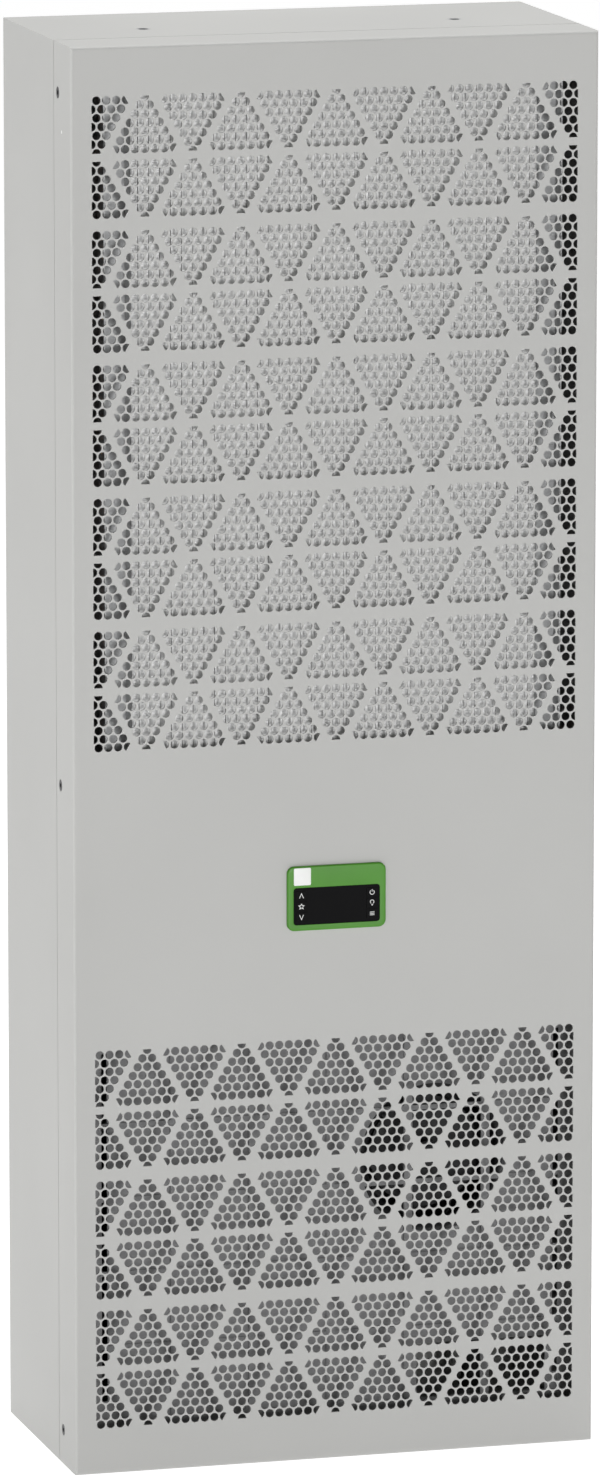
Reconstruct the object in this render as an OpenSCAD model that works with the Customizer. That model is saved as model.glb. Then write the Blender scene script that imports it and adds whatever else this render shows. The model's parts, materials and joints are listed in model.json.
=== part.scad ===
// Enclosure cooling unit: a tall sheet-steel casing with a perforated front cover, a condenser circuit in
// front and an evaporator circuit behind a partition. Millimetres, Z up, the front faces -Y, Z zero is the
// foot of the casing. Inside the modules Y is the depth behind the front face of the cover.

/* [Casing] */
// Width of the casing
casing_w = 433; // [432:1:450]
// Height of the casing
casing_h = 1152; // [1148:1:1200]
// Depth of the casing behind the front face
casing_d = 218; // [216:1:240]
// Thickness of the casing sheets
sheet_t = 1.5; // [1.4:0.1:1.6]
// Depth of the folded rim of the front cover
cover_d = 53; // [51:1:56]
// Outside radius of the folds of the front cover
bend_r = 2.5; // [2.2:0.1:3.5]
// Visible seam between the cover rim and the side sheets
seam = 0.8; // [0.5:0.1:1.2]
// Play between a lip and the sheet that slides over it
fit = 0.3; // [0.2:0.05:0.4]
// Depth behind the front face at which the side and top lips begin
lip_front = 28; // [24:1:32]
// Width of the stiffening flanges
flange_w = 20; // [16:1:22]

/* [Perforation] */
// Distance between neighbouring holes
hole_pitch = 8; // [7.9:0.1:8]
// Diameter of a hole
hole_d = 6.8; // [6.4:0.1:6.8]
// Rows of holes in a triangular group
group_rows = 7; // [7]
// Groups side by side across the cover, the first and last halved
columns = 11; // [11]
// Distance between neighbouring groups
column_pitch = 39.1; // [39:0.1:39.4]
// Distance between the facing hole rows of neighbouring groups
group_band = 11.86; // [11.8:0.02:12]
// Distance between the facing hole rows of neighbouring pairs of group rows
pair_band = 16.4; // [16:0.1:17]
// Pairs of group rows in the upper field
upper_pairs = 5; // [4:1:5]
// Pairs of group rows in the lower field
lower_pairs = 3; // [2:1:3]
// Height of the plain sheet above the upper field
upper_margin = 42.5; // [42:0.5:46]
// Height of the plain sheet below the lower field
lower_margin = 38.5; // [38:0.5:42]
// Share of the hole radius that a corner hole keeps beyond its centre
corner_keep_share = 0.1; // [0.05:0.05:0.2]
// Groups coined together in one shallow recess
run_groups = 3; // [3]
// Width of the ridge between two recesses
ridge_w = 3.5; // [3.2:0.1:3.6]
// Depth of a recess on each side of the sheet
coin_d = 0.05; // [0.04:0.01:0.1]
// Plain edge of a recess round its holes
coin_margin = 1; // [0.9:0.1:1.1]
// Overlap of a perforated field with the sheet around it
coin_lap = 0.3; // [0.2:0.1:0.3]

/* [Cover screws] */
// Radius of the black screw heads
screw_head_r = 4.5; // [4:0.1:5]
// Play round a screw head
screw_play = 0.3; // [0.2:0.1:0.5]
// Radius of the screw shank
screw_r = 2.4; // [2:0.1:2.6]
// Length of the screw shank behind the head
screw_l = 4; // [3:0.5:6]
// Depth of the screws behind the front face
screw_depth = 40.5; // [38:0.5:44]
// Height of the lowest screws
screw_low = 28.3; // [26:0.1:32]
// Height of the middle screws
screw_mid = 557; // [540:1:570]
// Distance of the highest screws from the top
screw_top = 40; // [36:1:44]
// Radius of the driver socket in a screw head
socket_r = 2; // [1.6:0.1:2.2]
// Depth of the driver socket
socket_d = 1; // [0.6:0.1:1.2]

/* [Lifting points] */
// Distance between the two lifting points
lifting_w = 258; // [240:1:280]
// Depth of the lifting points behind the front face
lifting_depth = 109; // [106:1:112]
// Outside radius of a lifting insert
lifting_r = 6.15; // [5.8:0.05:6.3]
// Bore radius of a lifting insert
lifting_bore_r = 4.25; // [4:0.05:4.5]
// Length of a lifting insert
lifting_l = 25; // [24:1:30]
// Depth of the bore in a lifting insert
lifting_bore_d = 22; // [18:1:22]
// Radius of the flange under the top sheet
lifting_flange_r = 10; // [9:0.5:12]
// Thickness of that flange
lifting_flange_t = 2; // [1.5:0.5:3]

/* [Rear mounting] */
// Width between the mounting inserts
mount_w = 360; // [352:1:364]
// Distance of the outer mounting inserts from the foot and the top of the casing
mount_inset = 40; // [36:1:48]
// Radius of an insert's body
insert_r = 4.5; // [4.2:0.1:5]
// Thread bore radius of an insert
insert_bore_r = 2.5; // [2.2:0.1:2.7]
// Length of an insert
insert_l = 14; // [12:1:18]
// Radius of an insert's rear flange
insert_flange_r = 7; // [6.5:0.5:8]
// Thickness of that flange
insert_flange_t = 1.2; // [1:0.1:1.5]
// Thickness of the rear gasket
gasket_t = 4; // [3:0.5:6]
// Width of the gasket strip
gasket_w = 12; // [10:1:14]
// Distance of the gasket from the casing's edge
gasket_inset = 8; // [6:1:8]

/* [Controller] */
// Width of the coloured frame
frame_w = 82; // [80:1:86]
// Height of the coloured frame
frame_h = 52.6; // [50:0.2:54]
// Height of the centre of the frame above the foot
frame_z = 463; // [455:1:468]
// How far the frame stands proud of the cover
frame_proud = 3.2; // [3:0.1:3.6]
// Corner radius of the frame
frame_r = 6; // [4:0.5:8]
// Width of the bevel round the frame
frame_bevel = 1.6; // [1:0.1:2]
// Width of the visible window
window_w = 71.5; // [71:0.1:72]
// Height of the visible window
window_h = 30.1; // [29.5:0.1:30.5]
// Height of the frame below the window
window_sill = 5; // [4.5:0.1:5.5]
// Corner radius of the window opening
window_r = 1.5; // [1:0.1:2]
// Width of the lens edge behind the frame
lens_edge = 1.75; // [1.5:0.05:2]
// Thickness of the lens
lens_t = 2.6; // [2.4:0.1:2.6]
// Width of the cut-out in the cover
cutout_w = 71; // [70.8:0.1:71.4]
// Height of the cut-out in the cover
cutout_h = 29; // [28.8:0.1:29.3]
// Depth of the housing behind the cover's front face
housing_d = 60; // [56:1:70]
// Width and height of the terminal block behind the housing
terminal_size = [60, 20]; // [50:1:68], [16:1:26]
// Depth of that terminal block
terminal_d = 6; // [4:1:10]
// Width of a key
key_w = 9; // [8:0.2:9.4]
// Height of a key
key_h = 7.4; // [7:0.1:7.6]
// Distance of the key centres from the sides of the window
key_inset = 6.4; // [6:0.1:7]
// Distance between neighbouring keys
key_pitch = 8.66; // [8.6:0.02:8.8]
// Height of a key above the lens
key_proud = 0.3; // [0.2:0.05:0.4]
// Play round a key
key_play = 0.15; // [0.1:0.05:0.2]
// Width of the retaining flange round a key
key_flange = 0.5; // [0.4:0.05:0.5]
// Thickness of the retaining flange
key_flange_t = 0.6; // [0.5:0.05:0.7]
// Travel of a key
key_travel = 0.5; // [0.3:0.1:0.5]
// Depth of the pocket behind the keys
key_pocket_d = 1.4; // [1.3:0.05:1.5]

/* [Inner sheets] */
// Depth of the partition behind the front face
partition_depth = 92; // [90:1:96]
// Height of the shelf between the two circuits
shelf_z = 560; // [550:1:564]
// Height of the base plate's upper face
base_z = 13.5; // [13:0.5:15]
// Depth at which the base plate steps up
base_step = 64; // [60:1:66]
// Depth of the fan panel
panel_depth = 45; // [45:0.5:47]
// Depth at which the condenser's air side begins
condenser_depth = 12; // [11:0.5:13]
// Width of the slots in the fan panel, left and right
slot_ws = [4.6, 7.4]; // [4:0.1:5], [7:0.1:8]
// Positions of those slots
slot_xs = [-180.6, 199.6]; // [-184:0.1:-178], [197:0.1:202]
// Heights of the ends of those slots
slot_zs = [48, 350]; // [44:1:60], [340:1:360]
// Left, lower, right and upper edge of the service opening
service_box = [81, 34, 190, 79]; // [76:1:86], [30:1:38], [186:1:194], [74:1:80]
// Thickness of the filter grid
grid_t = 2; // [1.5:0.1:3]
// Width of the grid's upright bars
grid_bar_w = 7.2; // [6:0.1:8]
// Height of the grid's level bars
grid_bar_h = 3.7; // [3:0.1:5]
// Positions of the first and last upright bar
grid_xs = [-187.7, 203.5]; // [-190:0.1:-185], [200:0.1:204.5]
// Heights of the first and last level bar
grid_zs = [32, 337]; // [30:1:36], [330:1:340]
// Number of upright bars
grid_uprights = 7; // [5:1:9]
// Number of level bars
grid_levels = 6; // [4:1:8]
// Overhang of the bars beyond the crossing bars
grid_over = 5; // [4:0.5:6]

/* [Heat exchangers] */
// Left and right end of the condenser's core
condenser_xs = [-165.5, 169.5]; // [-166:0.5:-163], [167:0.5:170]
// Depth of the condenser's core
condenser_core_d = 22; // [20:0.5:22]
// Distance of the condenser from the top of the casing
condenser_gap = 12; // [11:0.5:14]
// Number of upright flat tubes in the condenser
flat_tubes = 37; // [35:1:39]
// Thickness of a flat tube
flat_t = 2.2; // [2:0.1:2.4]
// Outside radius of the headers above and below the flat tubes
header_r = 12; // [11.5:0.1:12]
// Height of a fold of the condenser's fins
fold_h = 12; // [11:1:20]
// Left and right end of the condenser's connections
condenser_reach = [-186.5, 191.5]; // [-188:0.5:-184], [189:0.5:192]
// Distance between the fins of the evaporator
fin_pitch = 4; // [4:0.5:6]
// Thickness of a fin
fin_t = 0.4; // [0.3:0.05:0.5]
// Distance between the tube rows of the evaporator
tube_pitch = 25.4; // [25:0.1:25.6]
// Outside radius of the tubes
tube_r = 4.8; // [4.6:0.1:5]
// Play of the tubes in the fins
tube_play = 0.05; // [0.04:0.01:0.08]
// Thickness of the end plates
end_t = 1.2; // [1:0.1:1.5]
// Width of the front flange of the condenser's end plates
end_flange_w = 20; // [18:1:20]
// Depth at which that flange lies
end_flange_depth = 28; // [26:1:28]
// Straight length of a tube beyond the end plate
tube_stub = 4; // [3:0.5:5]
// Half the width of the evaporator
evaporator_half_w = 145; // [140:1:146]
// Front and rear depth of the evaporator
evaporator_ys = [110, 170]; // [108:1:112], [166:1:172]
// Height of the evaporator's fins
evaporator_h = 230; // [228:1:236]
// Height of the evaporator's fins above the tray floor
evaporator_lift = 15; // [14:1:16]
// Half the width of the condensate tray
tray_half_w = 165; // [164:1:168]
// Front and rear depth of the tray
tray_ys = [100, 180]; // [98:1:104], [176:1:184]
// Height of the tray
tray_h = 22; // [20:1:22]
// Depth and position of the condensate drain
drain_xy = [155, 140]; // [150:1:156], [136:1:144]
// Outside radius of the drain pipes that the hose is pushed over
drain_r = 5.5; // [5.2:0.1:5.8]
// Bore radius of the drain pipes
drain_bore_r = 4.5; // [4:0.1:4.7]
// Length of the tray's outlet below the shelf
drain_outlet_l = 24; // [20:1:28]
// Outside radius of the drain hose
hose_r = 8; // [7.6:0.1:9]
// Play between hose and pipe
hose_play = 0.1; // [0.05:0.05:0.2]
// Gap between the hose and the shelf
hose_gap = 4; // [3:1:6]
// Outside radius of the spigot below the base plate
spigot_r = 6; // [5.8:0.1:6.3]
// Radius of the spigot's collar in the base plate
spigot_collar_r = 6.7; // [6.5:0.1:7.5]
// Length of the spigot below the base plate
spigot_low = 10; // [8:0.5:11]
// Length of the spigot above the base plate
spigot_high = 26; // [20:1:30]
// Radius of the spigot's flange
spigot_flange_r = 11; // [10:0.5:13]
// Thickness of the spigot's flange
spigot_flange_t = 2; // [1.5:0.5:3]

/* [Compressor] */
// Position of the compressor's axis
compressor_xy = [-110, 140]; // [-112:1:-108], [138:1:142]
// Radius of the shell
shell_r = 55; // [53:0.5:55]
// Heights of the ends of the shell's straight wall
shell_zs = [45, 235]; // [44:1:46], [230:1:236]
// Radius of the domed ends
dome_r = 90; // [86:1:100]
// Heights of the ends of the welded belt
belt_zs = [150, 156]; // [146:1:152], [153:1:158]
// Width of the welded belt
belt_w = 2.5; // [2:0.5:3]
// Heights of the foot plate's faces
foot_zs = [25, 28]; // [24:0.5:26], [27:0.5:29]
// Reach of the feet from the axis
foot_reach = 70; // [68:1:71]
// Half the width of a foot
foot_half_w = 13; // [12:1:15]
// Outside radius of a grommet
grommet_r = 10; // [9:0.5:11]
// Radius of a grommet's neck
grommet_neck_r = 6; // [5.5:0.1:6.5]
// Height of a grommet's head
grommet_head_h = 3; // [2:0.5:4]
// Radius of the foot bolts
bolt_r = 4; // [3.5:0.1:4]
// Play of a bolt in its grommet
bolt_play = 0.1; // [0.05:0.05:0.2]
// Radius of a bolt's washer
washer_r = 9; // [8:0.5:10]
// Thickness of a bolt's washer
washer_t = 1.6; // [1:0.2:2]
// Radius across the corners of a bolt's head
bolt_head_r = 7.5; // [7:0.1:8]
// Height of a bolt's head
bolt_head_h = 5.3; // [4:0.1:6]
// Length of a bolt below the base plate
bolt_end_l = 6; // [4:1:8]
// Radius of the pipe ports of the compressor
port_r = 8; // [7:0.5:9]
// Length of the suction port
port_l = 3; // [2:0.5:4]
// Height of the discharge port's end
port_z = 262; // [258:1:264]
// Left, lower, right and upper edge of the terminal cover
terminal_box = [-130, 160, -90, 215]; // [-134:1:-126], [159:1:164], [-94:1:-86], [208:1:220]
// Depth at which the terminal cover begins
terminal_depth = 66; // [64:1:72]
// Radius of the suction accumulator
accumulator_r = 24; // [22:1:26]
// Position of the accumulator's axis
accumulator_x = -22; // [-22:1:-18]
// Heights of the accumulator's ends
accumulator_zs = [95, 235]; // [92:1:98], [230:1:240]
// Height of the accumulator's shoulders
accumulator_shoulder = 10; // [8:1:12]
// Height of the pipe below the accumulator
elbow_z = 75; // [70:1:78]

/* [Pipes] */
// Radius of the discharge pipe and the liquid line
line_r = 4; // [3.5:0.1:4]
// Bend radius of those pipes
line_bend = 10; // [9:0.5:10]
// Radius of the suction pipe
suction_r = 6; // [5.5:0.1:6]
// Bend radius of the suction pipe
suction_bend = 12; // [11:0.5:12]
// Radius of the capillary tube
capillary_r = 2.5; // [2:0.1:2.5]
// Play of the pipes in the sheets
pipe_play = 1; // [0.8:0.1:1.2]
// Heights of the discharge pipe's level runs below the shelf
discharge_zs = [300, 530]; // [296:1:306], [524:1:534]
// Depths of the discharge pipe's upright runs
discharge_ys = [106, 80]; // [105:1:108], [78:1:81]
// Distance of the discharge pipe's upright run from the middle
discharge_x = -200; // [-202:1:-198]
// Distance of the liquid line's upright run from the middle
liquid_x = 203; // [202:1:204]
// Depth of the liquid line's upright run
liquid_y = 82; // [80:1:84]
// Radius of the filter drier
drier_r = 9; // [8:0.5:9]
// Heights of the filter drier's ends
drier_zs = [420, 530]; // [416:1:424], [524:1:534]
// Height of the capillary tube's level run
capillary_z = 400; // [395:1:404]
// Distance of the suction pipe's upright run from the middle
suction_x = -180; // [-182:1:-180]
// Height of the suction pipe's level run
suction_z = 330; // [326:1:340]
// Reach of the evaporator's connections beyond its middle
evaporator_reach = 166.5; // [166:0.5:168]

/* [Fans] */
// Position and height of the ambient fan's axis
ambient_xz = [94.6, 233.6]; // [92:0.1:98], [230:0.1:238]
// Distance of the enclosure fan's axis from the top of the casing
enclosure_drop = 167; // [160:1:170]
// Radius of the intake openings
intake_r = 61.5; // [61:0.5:62]
// Width of an inlet ring's flange
inlet_flange_w = 14; // [12:1:15]
// Thickness of an inlet ring
inlet_t = 1.5; // [1.4:0.1:1.6]
// Radius of the inlet ring's rounding
inlet_bell_r = 7.5; // [7:0.1:7.5]
// Length of an inlet ring
inlet_l = 13; // [12.5:0.5:13.5]
// Radius of an impeller
impeller_r = 87.5; // [86:0.5:88]
// Inner and outer radius of the shroud's lip
lip_rs = [58.2, 59.4]; // [58:0.1:58.4], [59.2:0.1:60]
// Front and rear end of the shroud's lip and the shroud's rear face
shroud_ys = [10, 16, 17.2]; // [9:0.5:11], [15:0.5:16.5], [17:0.1:18]
// Front and rear face of the back plate
back_ys = [56, 57.5]; // [54:0.5:56.5], [57.5:0.5:59]
// Inner and outer radius of the blades
blade_rs = [45.5, 86]; // [45:0.5:45.5], [84:0.5:87]
// Radius of a blade's arc
blade_arc_r = 75; // [72:1:78]
// Distance of the arc's centre from the axis
blade_arc_x = 58; // [56:1:60]
// Thickness of a blade
blade_t = 1.5; // [1.2:0.1:1.8]
// Depth that a blade reaches into the discs
blade_lap = 0.5; // [0.4:0.1:0.6]
// Number of blades
blades = 7; // [5:1:9]
// Outside radius of the rotor cup
cup_r = 46; // [45.8:0.1:46]
// Thickness of the rotor cup
cup_t = 1.5; // [1.3:0.1:1.6]
// Front face of the rotor cup and rear end of its hub
cup_ys = [24, 26]; // [22:0.5:25], [25.5:0.5:27]
// Radius of the hub
hub_r = 10; // [9:0.5:12]
// Front end of the hub
hub_y = 14; // [13:0.5:15]
// Bore radius of the hub
hub_bore_r = 4.05; // [4.03:0.01:4.08]
// Radius of the motor's shaft
shaft_r = 4; // [3.99:0.01:4]
// Radius of the motor's drum
drum_r = 42; // [40:0.5:42.5]
// Front and rear end of the motor's drum
drum_ys = [28, 64]; // [27.5:0.5:30], [63:0.5:66]
// Radius of the motor's flange
motor_flange_r = 47; // [46:0.5:48]
// Thickness of the motor's flange
motor_flange_t = 4; // [3:0.5:4.5]
// Half the length of a bracket between its legs
bracket_half_h = 95; // [93:1:96]
// Length of a bracket's feet
bracket_foot = 15; // [12:1:15]
// Thickness of a bracket
bracket_t = 2; // [1.5:0.1:2.5]
// Width of a bracket
bracket_w = 60; // [50:1:64]

/* [Rear openings and electrics] */
// Left, lower, right and upper edge of the air outlet
outlet_box = [-145, 600, 145, 770]; // [-148:1:-140], [596:1:606], [140:1:148], [764:1:772]
// Width of the outlet grille's flange
outlet_flange_w = 8; // [6:1:10]
// Width of the outlet grille's inner frame
outlet_frame_w = 4; // [3:0.5:5]
// Proud height of the grilles behind the rear face
grille_t = 2.4; // [2:0.1:2.8]
// Depth of the grille's neck in front of the rear face
grille_neck = 4; // [3:0.5:5]
// Number of slats
slats = 9; // [6:1:10]
// Thickness of a slat
slat_t = 1.6; // [1.4:0.1:2]
// Drop of a slat over the grille's depth
slat_drop = 6; // [4:0.5:7]
// Radii of the finger guard's rings
guard_rs = [14, 26, 38, 50]; // [12:1:16], [24:1:28], [36:1:40], [48:1:52]
// Width of the guard's rim on the rear sheet
guard_rim = 5; // [4:0.5:7]
// Width of a ring and of a spoke
guard_w = 2.6; // [2.2:0.1:3]
// Number of spokes
guard_spokes = 4; // [4:1:6]
// Centre of the rear connector
connector_xz = [-120, 400]; // [-130:1:-110], [390:1:410]
// Width and height of the connector
connector_size = [48, 20]; // [44:1:56], [16:1:24]
// Depth of the connector in front of the rear face
connector_d = 28; // [24:1:32]
// Width of the connector's flange
connector_flange_w = 4; // [3:0.5:5]
// Thickness of the connector's flange
connector_flange_t = 2; // [1.5:0.5:3]
// Radius of a wire entry
wire_r = 1.8; // [1.5:0.1:2]
// Depth of a wire entry
wire_d = 12; // [10:1:16]
// Wire entries side by side
wires = 4; // [3:1:5]
// Left, lower, right and upper edge of the control box
control_edges = [-204, 404, -64, 543]; // [-205:1:-200], [400:1:408], [-68:1:-60], [540:1:546]
// Front depth of the control box
control_depth = 9.5; // [8:0.5:12]
// Wall of the control box and its lid
control_t = 1.5; // [1.2:0.1:2]
// Length of the lid's rim
lid_rim = 10; // [8:1:14]

/* [Hidden] */

$fn = 64;
overrun = 1;
steel_light = [0.74, 0.74, 0.73];
steel_grey = [0.55, 0.56, 0.57];
copper = [0.72, 0.45, 0.3];
aluminium = [0.8, 0.81, 0.82];
black = [0.05, 0.05, 0.05];
half_w = casing_w / 2;
lip_u = sheet_t + fit;
lip_in = 2 * sheet_t + fit;
step_y = cover_d + seam;
back_y = casing_d - sheet_t;
face_y = frame_proud - (frame_proud + casing_d + gasket_t) / 2;
wall_x = half_w - sheet_t;
inner_x = half_w - lip_in;
screw_zs = [screw_low, screw_mid, casing_h - screw_top];
mount_zs = [mount_inset, (casing_h - mount_w) / 2, (casing_h + mount_w) / 2, casing_h - mount_inset];
enclosure_xz = [0, casing_h - enclosure_drop];
row_step = hole_pitch * sqrt(3) / 2;
group_h = (group_rows - 1) * row_step;
group_w = (group_rows - 1) * hole_pitch;
group_lift = 2 * ((column_pitch - group_w / 2) * cos(30) - group_band);
row_gap = group_band + group_h - group_lift;
pair_pitch = row_gap + group_h - group_lift + pair_band;
field_half_w = (columns - 1) * column_pitch / 2;
window_z = frame_z - frame_h / 2 + window_sill + window_h / 2;
key_x = window_w / 2 - key_inset;
tray_floor = shelf_z + 2 * sheet_t;
evaporator_z = tray_floor + evaporator_lift;
header_y = condenser_depth + condenser_core_d / 2;
evaporator_y = (evaporator_ys[0] + evaporator_ys[1]) / 2;
condenser_z = screw_mid + screw_r + screw_play + sheet_t;
shelf_low = condenser_z - sheet_t;
condenser_top = casing_h - condenser_gap;
header_low = condenser_z + header_r + fit;
header_high = condenser_top - header_r - fit;
flat_pitch = (condenser_xs[1] - condenser_xs[0] + flat_t) / (flat_tubes + 1);
dome_h = dome_r - sqrt(dome_r * dome_r - shell_r * shell_r);
port_x = compressor_xy.x + shell_r + port_l;

function field_h(pairs) = (pairs - 1) * pair_pitch + row_gap + group_h;
function unit(v) = v / norm(v);
function left_of(v) = [-v.y, v.x];
function tubes_in(h) = 2 * floor((h / tube_pitch - 1) / 2) + 1;
function tube_z(z0, h, i) = z0 + h / 2 + (i - (tubes_in(h) - 1) / 2) * tube_pitch;
evaporator_last = tubes_in(evaporator_h) - 1;
suction_top = tube_z(evaporator_z, evaporator_h, evaporator_last);
capillary_top = tube_z(evaporator_z, evaporator_h, 0);

// Puts the depth behind the front face into the part's own frame.
module placed() translate([0, face_y, 0]) children();

module along_x(x0, x1) translate([x0, 0, 0]) rotate([90, 0, 90]) linear_extrude(x1 - x0) children();
module along_y(y0, y1) translate([0, y1, 0]) rotate([90, 0, 0]) linear_extrude(y1 - y0) children();
module along_z(z0, z1) translate([0, 0, z0]) linear_extrude(z1 - z0) children();
module box(p, q) translate(p) cube(q - p);
module area(p, q) translate(p) square(q - p);
module edges(b, grow = 0) area([b[0] - grow, b[1] - grow], [b[2] + grow, b[3] + grow]);
module both_sides() for (s = [-1, 1]) scale([s, 1, 1]) children();
module rounded(w, h, r) {
  square([w - 2 * r, h], center = true);
  square([w, h - 2 * r], center = true);
  for (x = [-1, 1], y = [-1, 1]) translate([x * (w / 2 - r), y * (h / 2 - r)]) circle(r);
}

// A sheet of thickness t folded along an open path, the sheet lying left of the path.
module folded(path, t) {
  last = len(path) - 1;
  ways = [for (i = [0:last - 1]) unit(path[i + 1] - path[i])];
  inner = [for (i = [0:last]) let (a = left_of(ways[max(i - 1, 0)]), b = left_of(ways[min(i, last - 1)]))
    path[i] + t * (a + b) / (1 + a * b)];
  polygon(concat(path, [for (i = [last:-1:0]) inner[i]]));
}

// A round pipe through the corners of a path whose turns are all right angles, bent with radius bend.
module pipe_run(path, r, bend) {
  last = len(path) - 1;
  ways = [for (i = [0:last - 1]) unit(path[i + 1] - path[i])];
  for (i = [0:last - 1]) {
    a = i == 0 ? 0 : bend;
    b = i == last - 1 ? 0 : bend;
    straight(path[i] + a * ways[i], path[i + 1] - b * ways[i], r);
  }
  for (i = [1:last - 1]) {
    from = ways[i - 1];
    to = ways[i];
    axis = cross(from, to);
    c = path[i] - bend * from + bend * to;
    multmatrix([[-to.x, from.x, axis.x, c.x], [-to.y, from.y, axis.y, c.y], [-to.z, from.z, axis.z, c.z]])
      rotate_extrude(angle = 90) translate([bend, 0]) circle(r);
  }
}
module straight(p, q, r) {
  way = unit(q - p);
  turn = abs(way.x) > abs(way.z) ? [0, 90 * way.x, 0]
    : abs(way.y) > abs(way.z) ? [-90 * way.y, 0, 0] : [way.z > 0 ? 0 : 180, 0, 0];
  translate(p) rotate(turn) cylinder(r = r, h = norm(q - p));
}

// Front cover.
module cut_hole(angle, offset) intersection() {
  circle(d = hole_d);
  rotate(angle) translate([-hole_d, -hole_d]) square([hole_d + offset, 2 * hole_d]);
}
module group_holes(up, side) {
  for (r = [0:group_rows - 1], c = [0:group_rows - 1 - r]) {
    x = (c - (group_rows - 1 - r) / 2) * hole_pitch;
    z = up ? r * row_step - group_h : -r * row_step;
    tip = r == group_rows - 1;
    end = r == 0 && (c == 0 || c == group_rows - 1);
    angle = tip ? (up ? 90 : -90) : (c == 0 ? 150 : 30) * (up ? -1 : 1);
    edge = side != 0 && abs(side * x + hole_pitch / 2) < hole_pitch / 8;
    if (side * x > -hole_pitch * 5 / 8) translate([x, z])
      if (tip || end) cut_hole(angle, corner_keep_share * hole_d / 2);
      else if (edge) cut_hole(side > 0 ? 180 : 0, 0);
      else circle(d = hole_d);
  }
}
// Where the boundary left of group k crosses the height z; the boundaries lean to and fro by 60 degrees.
function run_edge(k, odd, z) = k == 0 || k >= columns ? sign(k - columns / 2) * (field_half_w + hole_d / 2)
  : (k - columns / 2) * column_pitch
    + ((k + odd) % 2 == 1 ? 1 : -1) * (z + (group_h - group_lift) / 2) / tan(60);
module run_outline(first, odd, margin) {
  last = min(first + run_groups, columns);
  low = group_lift - group_h - hole_d / 2 - margin;
  high = hole_d / 2 + margin;
  inset = ridge_w / 2 - (margin - coin_margin) / cos(30);
  left = first == 0 ? -margin : inset;
  right = last == columns ? -margin : inset;
  polygon([[run_edge(first, odd, low) + left, low], [run_edge(first, odd, high) + left, high],
    [run_edge(last, odd, high) - right, high], [run_edge(last, odd, low) - right, low]]);
}
module run_holes(first, odd) {
  for (k = [first:min(first + run_groups, columns) - 1]) {
    up = (odd + k) % 2 == 1;
    translate([(k - (columns - 1) / 2) * column_pitch, up ? group_lift : 0])
      group_holes(up, k == 0 ? 1 : k == columns - 1 ? -1 : 0);
  }
}
module each_run(pairs, top) {
  for (i = [0:2 * pairs - 1], first = [0:run_groups:columns - 1]) {
    $odd = i % 2;
    $first = first;
    translate([0, 0, top - floor(i / 2) * pair_pitch - $odd * row_gap]) children();
  }
}
module each_field() {
  each_run(upper_pairs, casing_h - upper_margin) children();
  each_run(lower_pairs, lower_margin + field_h(lower_pairs)) children();
}
module front_cover() color(steel_light) placed() {
  difference() {
    along_y(0, sheet_t) difference() {
      area([-half_w + bend_r, bend_r], [half_w - bend_r, casing_h - bend_r]);
      translate([0, window_z]) square([cutout_w, cutout_h], center = true);
    }
    each_field() along_y(-overrun, sheet_t + overrun) run_outline($first, $odd, coin_margin);
  }
  each_field() along_y(coin_d, sheet_t - coin_d) difference() {
    run_outline($first, $odd, coin_margin + coin_lap);
    run_holes($first, $odd);
  }
}

// A section through the folded cover, width across and depth up, inset by the sheet for its inside.
module pan_profile(w, inset, depth) {
  translate([-w / 2 + inset, bend_r]) square([w - 2 * inset, depth - bend_r]);
  translate([-w / 2 + bend_r, inset]) square([w - 2 * bend_r, depth - inset]);
  for (s = [-1, 1]) translate([s * (w / 2 - bend_r), bend_r]) circle(bend_r - inset);
}
module pan_body(inset, depth) intersection() {
  along_z(inset, casing_h - inset) pan_profile(casing_w, inset, depth);
  translate([-half_w, 0, casing_h / 2]) rotate([0, 90, 0]) linear_extrude(casing_w)
    pan_profile(casing_h, inset, depth);
}
module screw_holes(r) for (z = screw_zs, s = [-1, 1]) translate([0, screw_depth, z]) rotate([0, 90 * s, 0])
  translate([0, 0, half_w - lip_in - screw_l]) cylinder(r = r, h = lip_in + screw_l + overrun);
module cover_rim() color(steel_light) placed() difference() {
  pan_body(0, cover_d);
  pan_body(sheet_t, cover_d + overrun);
  box([-half_w + bend_r, -overrun, bend_r], [half_w - bend_r, sheet_t + overrun, casing_h - bend_r]);
  screw_holes(screw_head_r + screw_play);
}
module cover_screws() color(black) placed()
  for (z = screw_zs, s = [-1, 1]) translate([0, screw_depth, z]) rotate([0, 90 * s, 0]) difference() {
    union() {
      translate([0, 0, half_w - lip_u]) cylinder(r = screw_head_r, h = lip_u);
      translate([0, 0, half_w - lip_u - screw_l]) cylinder(r = screw_r, h = screw_l);
    }
    translate([0, 0, half_w - socket_d]) cylinder(r = socket_r, h = socket_d + overrun, $fn = 6);
  }

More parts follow.
